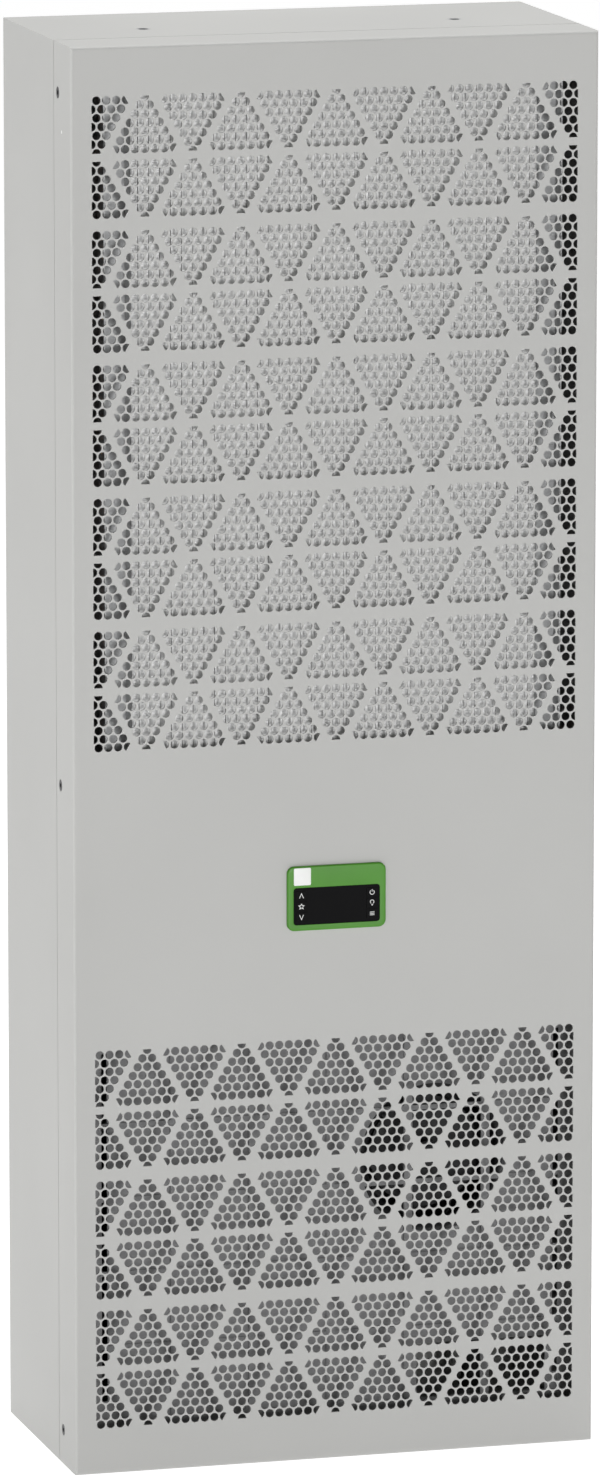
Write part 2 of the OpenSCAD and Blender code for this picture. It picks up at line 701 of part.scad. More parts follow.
// Casing sheets.
module side_panel() difference() {
  union() {
    box([wall_x, step_y, 0], [half_w, casing_d, casing_h]);
    along_z(lip_in, casing_h - lip_in) polygon([[half_w, step_y], [half_w - lip_u, step_y],
      [half_w - lip_u, lip_front], [inner_x, lip_front], [inner_x, step_y + sheet_t],
      [half_w, step_y + sheet_t]]);
  }
  screw_holes(screw_r + fit / 3);
}
module left_side_panel() color(steel_light) placed() scale([-1, 1, 1]) side_panel();
module right_side_panel() color(steel_light) placed() side_panel();
module top_panel() color(steel_light) placed() difference() {
  union() {
    box([-wall_x, step_y, casing_h - sheet_t], [wall_x, casing_d, casing_h]);
    box([-wall_x, step_y, casing_h - lip_in], [wall_x, step_y + sheet_t, casing_h]);
    box([-half_w + lip_u, lip_front, casing_h - lip_in], [half_w - lip_u, step_y + sheet_t, casing_h - lip_u]);
    both_sides() box([wall_x - sheet_t, step_y + sheet_t + fit, casing_h - flange_w],
      [wall_x, back_y, casing_h - sheet_t]);
  }
  for (s = [-1, 1]) translate([s * lifting_w / 2, lifting_depth, casing_h - lip_in - overrun])
    cylinder(r = lifting_r + fit / 3, h = lip_in + 2 * overrun);
}
module lifting_inserts() color(steel_grey) placed()
  for (s = [-1, 1]) translate([s * lifting_w / 2, lifting_depth, casing_h]) difference() {
    union() {
      translate([0, 0, -lifting_l]) cylinder(r = lifting_r, h = lifting_l);
      translate([0, 0, -sheet_t - lifting_flange_t]) cylinder(r = lifting_flange_r, h = lifting_flange_t);
    }
    translate([0, 0, -lifting_bore_d]) cylinder(r = lifting_bore_r, h = lifting_bore_d + overrun);
  }
function foot_places() = [for (i = [0:2]) compressor_xy
  + foot_reach * [cos(120 * i + 30), sin(120 * i + 30)]];
module base_panel() color(steel_light) placed() difference() {
  union() {
    box([-half_w + lip_u, lip_front, lip_u], [half_w - lip_u, base_step + sheet_t, lip_in]);
    box([-wall_x, base_step, lip_u], [wall_x, base_step + sheet_t, base_z]);
    box([-wall_x, base_step, base_z - sheet_t], [wall_x, back_y, base_z]);
    box([-wall_x, back_y - sheet_t, 0], [wall_x, back_y, base_z]);
    both_sides() box([wall_x - sheet_t, base_step + sheet_t + fit, 0], [wall_x, back_y, base_z]);
  }
  for (p = foot_places()) translate([p.x, p.y, 0]) cylinder(r = bolt_r, h = base_z + overrun);
  translate([drain_xy.x, drain_xy.y, 0]) cylinder(r = spigot_collar_r, h = base_z + overrun);
}
module mount_places() for (z = mount_zs, s = [-1, 1]) translate([s * mount_w / 2, z]) children();
module back_panel() color(steel_light) placed() difference() {
  union() {
    box([-wall_x, back_y, 0], [wall_x, casing_d, casing_h - sheet_t]);
    both_sides() box([wall_x - sheet_t, back_y - flange_w, base_z + fit],
      [wall_x, back_y, casing_h - flange_w - fit]);
  }
  along_y(back_y - overrun, casing_d + overrun) {
    mount_places() circle(insert_r);
    translate(enclosure_xz) circle(intake_r);
    edges(outlet_box);
    translate(connector_xz) square(connector_size, center = true);
  }
}
module rear_gasket() color(black) placed() along_y(casing_d, casing_d + gasket_t) difference() {
  area([gasket_inset - half_w, gasket_inset], [half_w - gasket_inset, casing_h - gasket_inset]);
  area([gasket_inset + gasket_w - half_w, gasket_inset + gasket_w],
    [half_w - gasket_inset - gasket_w, casing_h - gasket_inset - gasket_w]);
}
module mounting_inserts() color(steel_grey) placed() difference() {
  union() {
    along_y(casing_d - insert_l, casing_d) mount_places() circle(insert_r);
    along_y(casing_d, casing_d + insert_flange_t) mount_places() circle(insert_flange_r);
  }
  along_y(0, 2 * casing_d) mount_places() circle(insert_bore_r);
}

// Inner sheets.
module partition_panel() color(steel_grey) placed() difference() {
  union() {
    box([-wall_x, partition_depth, shelf_z], [wall_x, partition_depth + sheet_t, casing_h - flange_w - fit]);
    box([sheet_t - wall_x, partition_depth, shelf_z],
      [wall_x - sheet_t, partition_depth + sheet_t, casing_h - sheet_t]);
    box([-wall_x, partition_depth, shelf_z], [wall_x, back_y - flange_w - fit, shelf_z + sheet_t]);
    box([sheet_t - wall_x, partition_depth, shelf_z], [wall_x - sheet_t, back_y, shelf_z + sheet_t]);
  }
  translate([0, 0, shelf_z - overrun]) {
    translate([suction_x, evaporator_y, 0]) cylinder(r = suction_r + pipe_play, h = lip_in);
    translate([liquid_x, evaporator_y, 0]) cylinder(r = capillary_r + pipe_play, h = lip_in);
    translate([drain_xy.x, drain_xy.y, 0]) cylinder(r = drain_r + pipe_play, h = lip_in);
  }
}
module condenser_shelf() color(steel_grey) placed() along_x(-inner_x, inner_x)
  folded([[panel_depth + sheet_t, condenser_z], [condenser_depth, condenser_z],
    [condenser_depth, condenser_z - flange_w / 2]], sheet_t);
module condenser_top_baffle() color(steel_grey) placed() along_x(-inner_x, inner_x)
  folded([[condenser_depth, condenser_top], [panel_depth + sheet_t, condenser_top],
    [panel_depth + sheet_t, casing_h - lip_in]], sheet_t);
module fan_panel() color(steel_grey) placed() along_y(panel_depth, panel_depth + sheet_t) difference() {
  area([-inner_x, lip_in], [inner_x, shelf_low]);
  translate(ambient_xz) circle(intake_r);
  edges(service_box);
  for (i = [0:1]) area([slot_xs[i] - slot_ws[i] / 2, slot_zs[0]], [slot_xs[i] + slot_ws[i] / 2, slot_zs[1]]);
  translate([0, window_z]) square([cutout_w, cutout_h], center = true);
}
module filter_grid() color(steel_grey) placed() along_y(panel_depth - grid_t, panel_depth) {
  for (i = [0:grid_uprights - 1]) {
    x = grid_xs[0] + i * (grid_xs[1] - grid_xs[0]) / (grid_uprights - 1);
    area([x - grid_bar_w / 2, grid_zs[0] - grid_over], [x + grid_bar_w / 2, grid_zs[1] + grid_over]);
  }
  for (i = [0:grid_levels - 1]) {
    z = grid_zs[0] + i * (grid_zs[1] - grid_zs[0]) / (grid_levels - 1);
    area([grid_xs[0] - grid_over, z - grid_bar_h / 2], [grid_xs[1] + grid_over, z + grid_bar_h / 2]);
  }
}

// Condenser: upright flat tubes between two headers, and a folded fin in the gap at each side of a tube.
module header_pipe(z, x0, x1, r) translate([x0, header_y, z]) rotate([0, 90, 0])
  cylinder(r = r, h = x1 - x0);
module condenser_tubes() color(aluminium) placed() {
  for (i = [1:flat_tubes]) {
    x = condenser_xs[0] + i * flat_pitch;
    box([x - flat_t, condenser_depth, header_low], [x, condenser_depth + condenser_core_d, header_high]);
  }
  for (z = [header_low, header_high]) header_pipe(z, condenser_xs[0] + fit, condenser_xs[1] - fit, header_r);
  header_pipe(header_high, condenser_reach[0], condenser_xs[0] + header_r, tube_r);
  header_pipe(header_low, condenser_xs[1] - header_r, condenser_reach[1], tube_r);
}
module condenser_fins() color(aluminium) placed() {
  low = header_low + header_r + fit;
  high = header_high - header_r - fit;
  folds = floor((high - low) / fold_h);
  gap = flat_pitch - flat_t - 2 * tube_play;
  lean = fin_t * norm([gap, fold_h]) / fold_h;
  for (i = [0:flat_tubes]) {
    x = condenser_xs[0] + i * flat_pitch + tube_play;
    along_y(condenser_depth + fit, condenser_depth + condenser_core_d - fit)
      folded([for (k = [0:folds]) [x + (k % 2 == 0 ? lean : gap), low + k * (high - low) / folds]], fin_t);
  }
}
module condenser_end_plate(z) difference() {
  along_z(condenser_z, condenser_top) folded([
    [condenser_xs[0] - end_flange_w, condenser_depth + end_t],
    [condenser_xs[0] - end_flange_w, end_flange_depth], [condenser_xs[0], end_flange_depth],
    [condenser_xs[0], condenser_depth + condenser_core_d]], end_t);
  header_pipe(z, condenser_xs[0] - end_flange_w - end_t - overrun, condenser_xs[0], tube_r + 2 * tube_play);
}
module condenser_left_end_plate() color(steel_light) placed() condenser_end_plate(header_high);
module condenser_right_end_plate() color(steel_light) placed()
  translate([condenser_xs[0] + condenser_xs[1], 0, 0]) scale([-1, 1, 1]) condenser_end_plate(header_low);

// Evaporator: a block of upright fins, the tube that runs to and fro through it, and two end plates.
module tube_holes(y, z0, h, r) for (i = [0:tubes_in(h) - 1]) translate([y, tube_z(z0, h, i)]) circle(r);
module fin_block(xs, ys, ty, z0, h) {
  fins = floor((xs[1] - xs[0]) / fin_pitch);
  for (i = [0:fins - 1]) {
    x = xs[0] + (i + 1 / 2) * (xs[1] - xs[0]) / fins;
    along_x(x - fin_t / 2, x + fin_t / 2) difference() {
      area([ys[0], z0], [ys[1], z0 + h]);
      tube_holes(ty, z0, h, tube_r + tube_play);
    }
  }
}
// The top tube ends at reach[0] on the left, the lowest one at reach[1] on the right.
module serpentine(xs, ty, z0, h, reach) {
  last = tubes_in(h) - 1;
  ends = [xs[0] - end_t - tube_stub, xs[1] + end_t + tube_stub];
  for (i = [0:last])
    translate([0, ty, tube_z(z0, h, i)]) rotate([0, 90, 0]) translate([0, 0, i == last ? reach[0] : ends[0]])
      cylinder(r = tube_r, h = (i == 0 ? reach[1] : ends[1]) - (i == last ? reach[0] : ends[0]));
  for (i = [0:last - 1]) {
    side = i % 2 == 1 ? 1 : 0;
    translate([ends[side], ty, tube_z(z0, h, i) + tube_pitch / 2]) rotate([90, 0, 0]) rotate(90 - 180 * side)
      rotate_extrude(angle = 180) translate([tube_pitch / 2, 0]) circle(tube_r);
  }
}
module end_plate(path, x, ty, z0, z1, fin_z, h) difference() {
  along_z(z0, z1) folded(path, end_t);
  along_x(x - 2 * end_t, x + overrun) tube_holes(ty, fin_z, h, tube_r + 2 * tube_play);
}
module evaporator_fins() color(aluminium) placed() fin_block([-evaporator_half_w, evaporator_half_w],
  evaporator_ys, evaporator_y, evaporator_z, evaporator_h);
module evaporator_tubes() color(copper) placed() serpentine([-evaporator_half_w, evaporator_half_w],
  evaporator_y, evaporator_z, evaporator_h, [-evaporator_reach, evaporator_reach]);
module evaporator_left_end_plate() color(steel_light) placed() end_plate([
  [-evaporator_half_w - flange_w / 2, evaporator_ys[0]], [-evaporator_half_w, evaporator_ys[0]],
  [-evaporator_half_w, evaporator_ys[1]], [-evaporator_half_w - flange_w / 2, evaporator_ys[1]]],
  -evaporator_half_w, evaporator_y, tray_floor, evaporator_z + evaporator_h, evaporator_z, evaporator_h);
module evaporator_right_end_plate() scale([-1, 1, 1]) evaporator_left_end_plate();

// Condensate drain.
module drain(z0, z1, r) translate([drain_xy.x, drain_xy.y, z0]) cylinder(r = r, h = z1 - z0);
module drip_tray() color(steel_light) placed() difference() {
  union() {
    box([-tray_half_w, tray_ys[0], tray_floor - sheet_t],
      [tray_half_w, tray_ys[1], tray_floor - sheet_t + tray_h]);
    drain(tray_floor - sheet_t - drain_outlet_l, tray_floor, drain_r);
  }
  box([sheet_t - tray_half_w, tray_ys[0] + sheet_t, tray_floor],
    [tray_half_w - sheet_t, tray_ys[1] - sheet_t, tray_floor + tray_h]);
  drain(shelf_z - 2 * drain_outlet_l, tray_floor + overrun, drain_bore_r);
}
module drain_hose() color(black) placed() difference() {
  drain(base_z + spigot_flange_t, shelf_z - hose_gap, hose_r);
  drain(0, shelf_z, drain_r + hose_play);
}
module drain_spigot() color(steel_grey) placed() difference() {
  union() {
    drain(base_z - sheet_t - spigot_low, base_z, spigot_r);
    drain(base_z - sheet_t, base_z, spigot_collar_r);
    drain(base_z, base_z + spigot_high, drain_r);
    drain(base_z, base_z + spigot_flange_t, spigot_flange_r);
  }
  drain(0, base_z + spigot_high + overrun, drain_bore_r);
}

// Compressor.
module at_compressor() placed() translate([compressor_xy.x, compressor_xy.y, 0]) children();
module capsule(r, z0, z1, shoulder) rotate_extrude() intersection() {
  translate([0, (z0 + z1) / 2]) rounded(2 * r, z1 - z0, shoulder);
  area([0, z0], [r, z1]);
}
module compressor() color(black) at_compressor() difference() {
  union() {
    translate([0, 0, shell_zs[0]]) cylinder(r = shell_r, h = shell_zs[1] - shell_zs[0]);
    intersection() {
      translate([0, 0, shell_zs[1] + dome_h - dome_r]) sphere(dome_r);
      translate([0, 0, shell_zs[1] - overrun]) cylinder(r = shell_r, h = dome_h + 2 * overrun);
    }
    intersection() {
      translate([0, 0, shell_zs[0] - dome_h + dome_r]) sphere(dome_r);
      translate([0, 0, shell_zs[0] - dome_h - overrun]) cylinder(r = shell_r, h = dome_h + 2 * overrun);
    }
    translate([0, 0, belt_zs[0]]) cylinder(r = shell_r + belt_w, h = belt_zs[1] - belt_zs[0]);
    along_z(foot_zs[0], foot_zs[1]) for (i = [0:2]) rotate(120 * i + 30) {
      area([0, -foot_half_w], [foot_reach, foot_half_w]);
      translate([foot_reach, 0]) circle(foot_half_w);
    }
    translate([0, 0, shell_zs[1]]) cylinder(r = port_r, h = port_z - shell_zs[1]);
    translate([0, 0, elbow_z]) rotate([0, 90, 0]) cylinder(r = port_r, h = shell_r + port_l);
  }
  for (i = [0:2]) rotate(120 * i + 30) translate([foot_reach, 0, 0])
    cylinder(r = grommet_neck_r, h = foot_zs[1] + overrun);
}
module compressor_terminal_cover() color(steel_grey) placed() difference() {
  box([terminal_box[0], terminal_depth, terminal_box[1]], [terminal_box[2], compressor_xy.y, terminal_box[3]]);
  box([terminal_box[0] + control_t, terminal_depth + control_t, terminal_box[1] + control_t],
    [terminal_box[2] - control_t, compressor_xy.y + overrun, terminal_box[3] - control_t]);
  translate([compressor_xy.x, compressor_xy.y, 0]) cylinder(r = shell_r, h = terminal_box[3] + overrun);
}
module at_feet() placed() for (p = foot_places()) translate([p.x, p.y, 0]) children();
module compressor_grommets() color(black) at_feet() difference() {
  union() {
    translate([0, 0, base_z]) cylinder(r = grommet_r, h = foot_zs[0] - base_z);
    translate([0, 0, base_z]) cylinder(r = grommet_neck_r, h = foot_zs[1] - base_z);
    translate([0, 0, foot_zs[1]]) cylinder(r = washer_r, h = grommet_head_h);
  }
  cylinder(r = bolt_r + bolt_play, h = foot_zs[1] + grommet_head_h + overrun);
}
module compressor_bolts() color(steel_grey) at_feet() {
  low = base_z - sheet_t - bolt_end_l;
  top = foot_zs[1] + grommet_head_h;
  translate([0, 0, low]) cylinder(r = bolt_r, h = top - low);
  translate([0, 0, top]) cylinder(r = washer_r, h = washer_t);
  translate([0, 0, top + washer_t]) cylinder(r = bolt_head_r, h = bolt_head_h, $fn = 6);
}
module suction_accumulator() color(black) placed() translate([accumulator_x, compressor_xy.y, 0])
  capsule(accumulator_r, accumulator_zs[0], accumulator_zs[1], accumulator_shoulder);
module accumulator_elbow() color(copper) placed() pipe_run([
  [accumulator_x, compressor_xy.y, accumulator_zs[0]], [accumulator_x, compressor_xy.y, elbow_z],
  [port_x, compressor_xy.y, elbow_z]], suction_r, suction_bend);

// Pipes.
module discharge_pipe() color(copper) placed() pipe_run([
  [compressor_xy.x, compressor_xy.y, port_z], [compressor_xy.x, compressor_xy.y, discharge_zs[0]],
  [compressor_xy.x, discharge_ys[0], discharge_zs[0]], [compressor_xy.x, discharge_ys[0], discharge_zs[1]],
  [discharge_x, discharge_ys[0], discharge_zs[1]], [discharge_x, discharge_ys[1], discharge_zs[1]],
  [discharge_x, discharge_ys[1], header_high], [discharge_x, header_y, header_high],
  [condenser_reach[0], header_y, header_high]], line_r, line_bend);
module liquid_line() color(copper) placed() pipe_run([
  [condenser_reach[1], header_y, header_low], [liquid_x, header_y, header_low],
  [liquid_x, liquid_y, header_low], [liquid_x, liquid_y, drier_zs[1]]], line_r, line_bend);
module filter_drier() color(copper) placed() translate([liquid_x, liquid_y, 0])
  capsule(drier_r, drier_zs[0], drier_zs[1], drier_r / 2);
module capillary_tube() color(copper) placed() pipe_run([
  [liquid_x, liquid_y, drier_zs[0]], [liquid_x, liquid_y, capillary_z], [liquid_x, evaporator_y, capillary_z],
  [liquid_x, evaporator_y, capillary_top], [evaporator_reach, evaporator_y, capillary_top]],
  capillary_r, line_bend);
module suction_pipe() color(copper) placed() pipe_run([
  [-evaporator_reach, evaporator_y, suction_top], [suction_x, evaporator_y, suction_top],
  [suction_x, evaporator_y, suction_z], [accumulator_x, evaporator_y, suction_z],
  [accumulator_x, evaporator_y, accumulator_zs[1]]], suction_r, suction_bend);

// Fans: the axis runs along Y from the rear face of the sheet that carries the fan.
module ambient_place() placed() translate([ambient_xz.x, panel_depth + sheet_t, ambient_xz.y]) children();
module enclosure_place() placed() translate([enclosure_xz.x, back_y, enclosure_xz.y]) scale([1, -1, 1])
  children();
module turned() rotate([-90, 0, 0]) rotate_extrude() children();
module inlet_ring() color(steel_grey) turned() {
  throat = intake_r - inlet_bell_r;
  area([intake_r, 0], [intake_r + inlet_flange_w, inlet_t]);
  area([throat, inlet_bell_r], [throat + inlet_t, inlet_l]);
  intersection() {
    area([throat, 0], [intake_r, inlet_bell_r]);
    translate([intake_r, inlet_bell_r]) difference() {
      circle(inlet_bell_r);
      circle(inlet_bell_r - inlet_t);
    }
  }
}
module blade() intersection() {
  area([-blade_rs[1], 0], [blade_rs[1], blade_rs[1]]);
  difference() {
    circle(blade_rs[1]);
    circle(blade_rs[0]);
  }
  translate([blade_arc_x, 0]) difference() {
    circle(blade_arc_r);
    circle(blade_arc_r - blade_t);
  }
}
module impeller() color(black) {
  turned() {
    area([lip_rs[0], shroud_ys[1]], [impeller_r, shroud_ys[2]]);
    area([lip_rs[0], shroud_ys[0]], [lip_rs[1], shroud_ys[2]]);
    area([cup_r - cup_t, back_ys[0]], [impeller_r, back_ys[1]]);
    area([cup_r - cup_t, cup_ys[0]], [cup_r, back_ys[1]]);
    area([hub_bore_r, cup_ys[0]], [cup_r, cup_ys[1]]);
    area([hub_bore_r, hub_y], [hub_r, cup_ys[1]]);
  }
  along_y(shroud_ys[2] - blade_lap, back_ys[0] + blade_lap)
    for (i = [0:blades - 1]) rotate(360 * i / blades) blade();
}
module fan_motor() color(black) turned() {
  area([0, hub_y], [shaft_r, drum_ys[1]]);
  area([0, drum_ys[0]], [drum_r, drum_ys[1]]);
  area([0, drum_ys[1] - motor_flange_t], [motor_flange_r, drum_ys[1]]);
}
module fan_bracket() color(steel_grey) along_x(-bracket_w / 2, bracket_w / 2) folded([
  [0, bracket_half_h + bracket_foot], [0, bracket_half_h], [drum_ys[1], bracket_half_h],
  [drum_ys[1], -bracket_half_h], [0, -bracket_half_h], [0, -bracket_half_h - bracket_foot]], bracket_t);
module ambient_inlet_ring() ambient_place() inlet_ring();
module ambient_impeller() ambient_place() impeller();
module ambient_fan_motor() ambient_place() fan_motor();
module ambient_fan_bracket() ambient_place() fan_bracket();
module enclosure_inlet_ring() enclosure_place() inlet_ring();
module enclosure_impeller() enclosure_place() impeller();
module enclosure_fan_motor() enclosure_place() fan_motor();
module enclosure_fan_bracket() enclosure_place() fan_bracket();

// Rear openings.
module enclosure_finger_guard() color(black) placed() along_y(casing_d, casing_d + grille_t)
  translate(enclosure_xz) {
    circle(guard_rs[0]);
    for (r = guard_rs) difference() {
      circle(r + guard_w / 2);
      circle(r - guard_w / 2);
    }
    difference() {
      circle(intake_r + guard_rim);
      circle(intake_r - guard_w);
    }
    for (i = [0:guard_spokes - 1]) rotate(180 * i / guard_spokes)
      square([2 * intake_r, guard_w], center = true);
  }
module outlet_grille() color(black) placed() {
  along_y(casing_d, casing_d + grille_t) difference() {
    edges(outlet_box, outlet_flange_w);
    edges(outlet_box, -outlet_frame_w);
  }
  along_y(casing_d - grille_neck, casing_d) difference() {
    edges(outlet_box, -fit);
    edges(outlet_box, -outlet_frame_w);
  }
  pitch = (outlet_box[3] - outlet_box[1]) / (slats + 1);
  along_x(outlet_box[0] + 2 * fit, outlet_box[2] - 2 * fit) for (i = [1:slats]) {
    z = outlet_box[1] + i * pitch + slat_drop / 2;
    polygon([[casing_d - grille_neck, z], [casing_d + grille_t, z - slat_drop],
      [casing_d + grille_t, z - slat_drop + slat_t], [casing_d - grille_neck, z + slat_t]]);
  }
}
module power_connector() color(black) placed() difference() {
  union() {
    along_y(casing_d - connector_d, casing_d) translate(connector_xz)
      square(connector_size - 2 * [fit, fit], center = true);
    along_y(casing_d, casing_d + connector_flange_t) translate(connector_xz)
      square(connector_size + 2 * [connector_flange_w, connector_flange_w], center = true);
  }
  along_y(casing_d + connector_flange_t - wire_d, casing_d + connector_flange_t + overrun)
    translate(connector_xz) for (i = [0:wires - 1])
      translate([(i - (wires - 1) / 2) * connector_size.x / wires, 0]) circle(wire_r);
}
module control_box() color(steel_light) placed() difference() {
  along_y(control_depth + control_t, panel_depth) edges(control_edges);
  along_y(0, panel_depth - control_t) edges(control_edges, -control_t);
}
module control_box_lid() color(steel_light) placed() difference() {
  along_y(control_depth, control_depth + control_t + lid_rim) edges(control_edges, fit + control_t);
  along_y(control_depth + control_t, panel_depth) edges(control_edges, fit);
}

// Controller.
module at_frame() placed() translate([0, 0, frame_z]) children();
module at_window() placed() translate([0, 0, window_z]) children();
module controller_frame() color([0.25, 0.51, 0.2]) difference() {
  at_frame() hull() {
    along_y(frame_bevel - frame_proud, 0) rounded(frame_w, frame_h, frame_r);
    along_y(-frame_proud, 0)
      rounded(frame_w - 2 * frame_bevel, frame_h - 2 * frame_bevel, frame_r - frame_bevel);
  }
  at_window() {
    along_y(-frame_proud - overrun, overrun) rounded(window_w, window_h, window_r);
    along_y(-lens_t, overrun)
      rounded(window_w + 2 * (lens_edge + fit / 2), window_h + 2 * (lens_edge + fit / 2), window_r + fit / 2);
  }
}
module key_rows() for (s = [-1, 1]) translate([s * key_x, 0]) children();
module controller_window() color(black) at_window() difference() {
  along_y(-lens_t, 0) rounded(window_w + 2 * lens_edge, window_h + 2 * lens_edge, window_r);
  along_y(-lens_t - overrun, overrun) key_rows() for (i = [-1:1]) translate([0, i * key_pitch])
    square([key_w + 2 * key_play, key_h + 2 * key_play], center = true);
  along_y(-key_pocket_d, overrun) key_rows() square([key_w + 2 * (key_flange + key_play),
    key_h + 2 * (key_pitch + key_flange + key_play)], center = true);
}
module controller_housing() color(black) at_window() {
  along_y(0, housing_d) square([cutout_w - 2 * fit, cutout_h - 2 * fit], center = true);
  along_y(housing_d, housing_d + terminal_d) square(terminal_size, center = true);
}
module key(side, row) color(black) at_window() translate([side * key_x, 0, row * key_pitch]) {
  along_y(-lens_t - key_proud, -key_pocket_d) square([key_w, key_h], center = true);
  along_y(-key_pocket_d, key_flange_t - key_pocket_d)
    square([key_w + 2 * key_flange, key_h + 2 * key_flange], center = true);
}
module key_up() key(-1, 1);
module key_defrost() key(-1, 0);
module key_down() key(-1, -1);
module key_power() key(1, 1);
module key_light() key(1, 0);
module key_menu() key(1, -1);

front_cover();
cover_rim();
cover_screws();
left_side_panel();
right_side_panel();
top_panel();
base_panel();
back_panel();
rear_gasket();
mounting_inserts();
lifting_inserts();
partition_panel();
condenser_shelf();
condenser_top_baffle();
fan_panel();
filter_grid();
condenser_fins();
condenser_tubes();
condenser_left_end_plate();
condenser_right_end_plate();
evaporator_fins();
evaporator_tubes();
evaporator_left_end_plate();
evaporator_right_end_plate();
drip_tray();
drain_hose();
drain_spigot();
compressor();
compressor_terminal_cover();
compressor_grommets();
compressor_bolts();
suction_accumulator();
accumulator_elbow();
discharge_pipe();
liquid_line();
filter_drier();
capillary_tube();
suction_pipe();
ambient_inlet_ring();
ambient_impeller();
ambient_fan_motor();
ambient_fan_bracket();
enclosure_inlet_ring();
enclosure_impeller();
enclosure_fan_motor();
enclosure_fan_bracket();
enclosure_finger_guard();
outlet_grille();
power_connector();
control_box();
control_box_lid();
controller_frame();
controller_window();
controller_housing();
key_up();
key_defrost();
key_down();
key_power();
key_light();
key_menu();
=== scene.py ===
"""Enclosure cooling unit: the finished look of the casing, its perforated cover, the controller and the
circuits behind it. Metres, Z up, the front faces -Y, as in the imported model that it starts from."""

import json
import math

import bmesh
import bpy
import numpy as np
from bpy.props import FloatProperty, FloatVectorProperty, IntProperty, PointerProperty
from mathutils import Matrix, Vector, geometry


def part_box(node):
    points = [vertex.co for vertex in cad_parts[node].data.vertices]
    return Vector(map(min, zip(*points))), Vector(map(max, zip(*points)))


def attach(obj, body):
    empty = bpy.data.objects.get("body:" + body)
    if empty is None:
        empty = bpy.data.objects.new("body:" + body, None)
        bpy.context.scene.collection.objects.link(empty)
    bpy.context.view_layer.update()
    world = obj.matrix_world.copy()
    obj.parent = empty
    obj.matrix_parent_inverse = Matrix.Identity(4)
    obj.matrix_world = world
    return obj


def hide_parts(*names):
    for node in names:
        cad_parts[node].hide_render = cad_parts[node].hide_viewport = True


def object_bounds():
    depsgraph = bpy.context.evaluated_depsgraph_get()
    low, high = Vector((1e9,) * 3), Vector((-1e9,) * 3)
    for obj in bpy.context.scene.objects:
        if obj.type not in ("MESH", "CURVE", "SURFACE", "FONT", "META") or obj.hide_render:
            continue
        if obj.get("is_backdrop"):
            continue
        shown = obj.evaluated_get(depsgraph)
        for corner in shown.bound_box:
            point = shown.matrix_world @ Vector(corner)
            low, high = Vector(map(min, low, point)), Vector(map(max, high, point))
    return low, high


bl_info = {
    "name": "Enclosure cooling unit",
    "version": (1, 0, 0),
    "blender": (4, 5, 0),
    "location": "3D View > Sidebar > Cooling unit",
    "description": "Dresses the packed cooling unit with its perforated cover, fins, controller and finishes",
    "category": "Object",
}

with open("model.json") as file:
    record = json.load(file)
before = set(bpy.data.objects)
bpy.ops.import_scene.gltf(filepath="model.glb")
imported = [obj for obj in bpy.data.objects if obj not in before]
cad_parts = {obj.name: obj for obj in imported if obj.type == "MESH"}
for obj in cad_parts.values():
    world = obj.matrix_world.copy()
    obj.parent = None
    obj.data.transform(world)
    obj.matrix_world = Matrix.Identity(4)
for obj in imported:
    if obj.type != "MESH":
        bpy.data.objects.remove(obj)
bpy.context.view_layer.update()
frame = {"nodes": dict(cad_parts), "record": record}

FACE_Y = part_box("front_cover")[0][1]
COVER_LOW, COVER_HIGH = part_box("front_cover")
FRAME_LOW, FRAME_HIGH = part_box("controller_frame")
WINDOW_LOW, WINDOW_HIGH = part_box("controller_window")
FINS_LOW, FINS_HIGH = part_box("condenser_fins")
CASING_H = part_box("cover_rim")[1][2]
HALF_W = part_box("cover_rim")[1][0]

# Inside the fan's opening the ring wears satin black instead of its slot's zinc: painted shade for the
# darkness of the opening.
PAINTED_SHADE_SLOTS = {"ambient_inlet_ring": "black_steel"}
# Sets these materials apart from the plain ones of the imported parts, which have the names of the slots.
FINISH = "finish_"
# How deep a piece that sits on another goes into it.
SUNK = 0.0002
# Each light with its place, the point that it is aimed at, the setting with its power, and its diameter.
LIGHTS = (
    ("front_light", (0.0, -7.0, 0.9), (0.0, 0.0, 0.6), "key", 1.6),
    ("left_light", (-5.5, 0.9, 1.2), (-0.2, 0.0, 0.7), "side", 2.4),
    ("top_light", (0.3, 0.9, 4.6), (0.0, 0.0, 1.15), "top", 2.0),
)


# ---------------------------------------------------------------------------------------------- settings


def length(name, default, text):
    """A size in metres with its name, its default and what it means."""
    return FloatProperty(name=name, description=text, default=default, min=0.0, max=2.0, precision=5,
                         unit="LENGTH")


def count(name, default, low, high, text):
    """A whole number with its name, its default, its limits and what it means."""
    return IntProperty(name=name, description=text, default=default, min=low, max=high)


def power(name, default, text):
    """The power of a light with its name, its default and what it means."""
    return FloatProperty(name=name, description=text, default=default, min=0.0, max=5000.0)


def colour(name, default, text):
    """A linear colour with its name, its default and what it means."""
    return FloatVectorProperty(name=name, description=text, default=default, subtype="COLOR", size=3,
                               min=0.0, max=1.0)


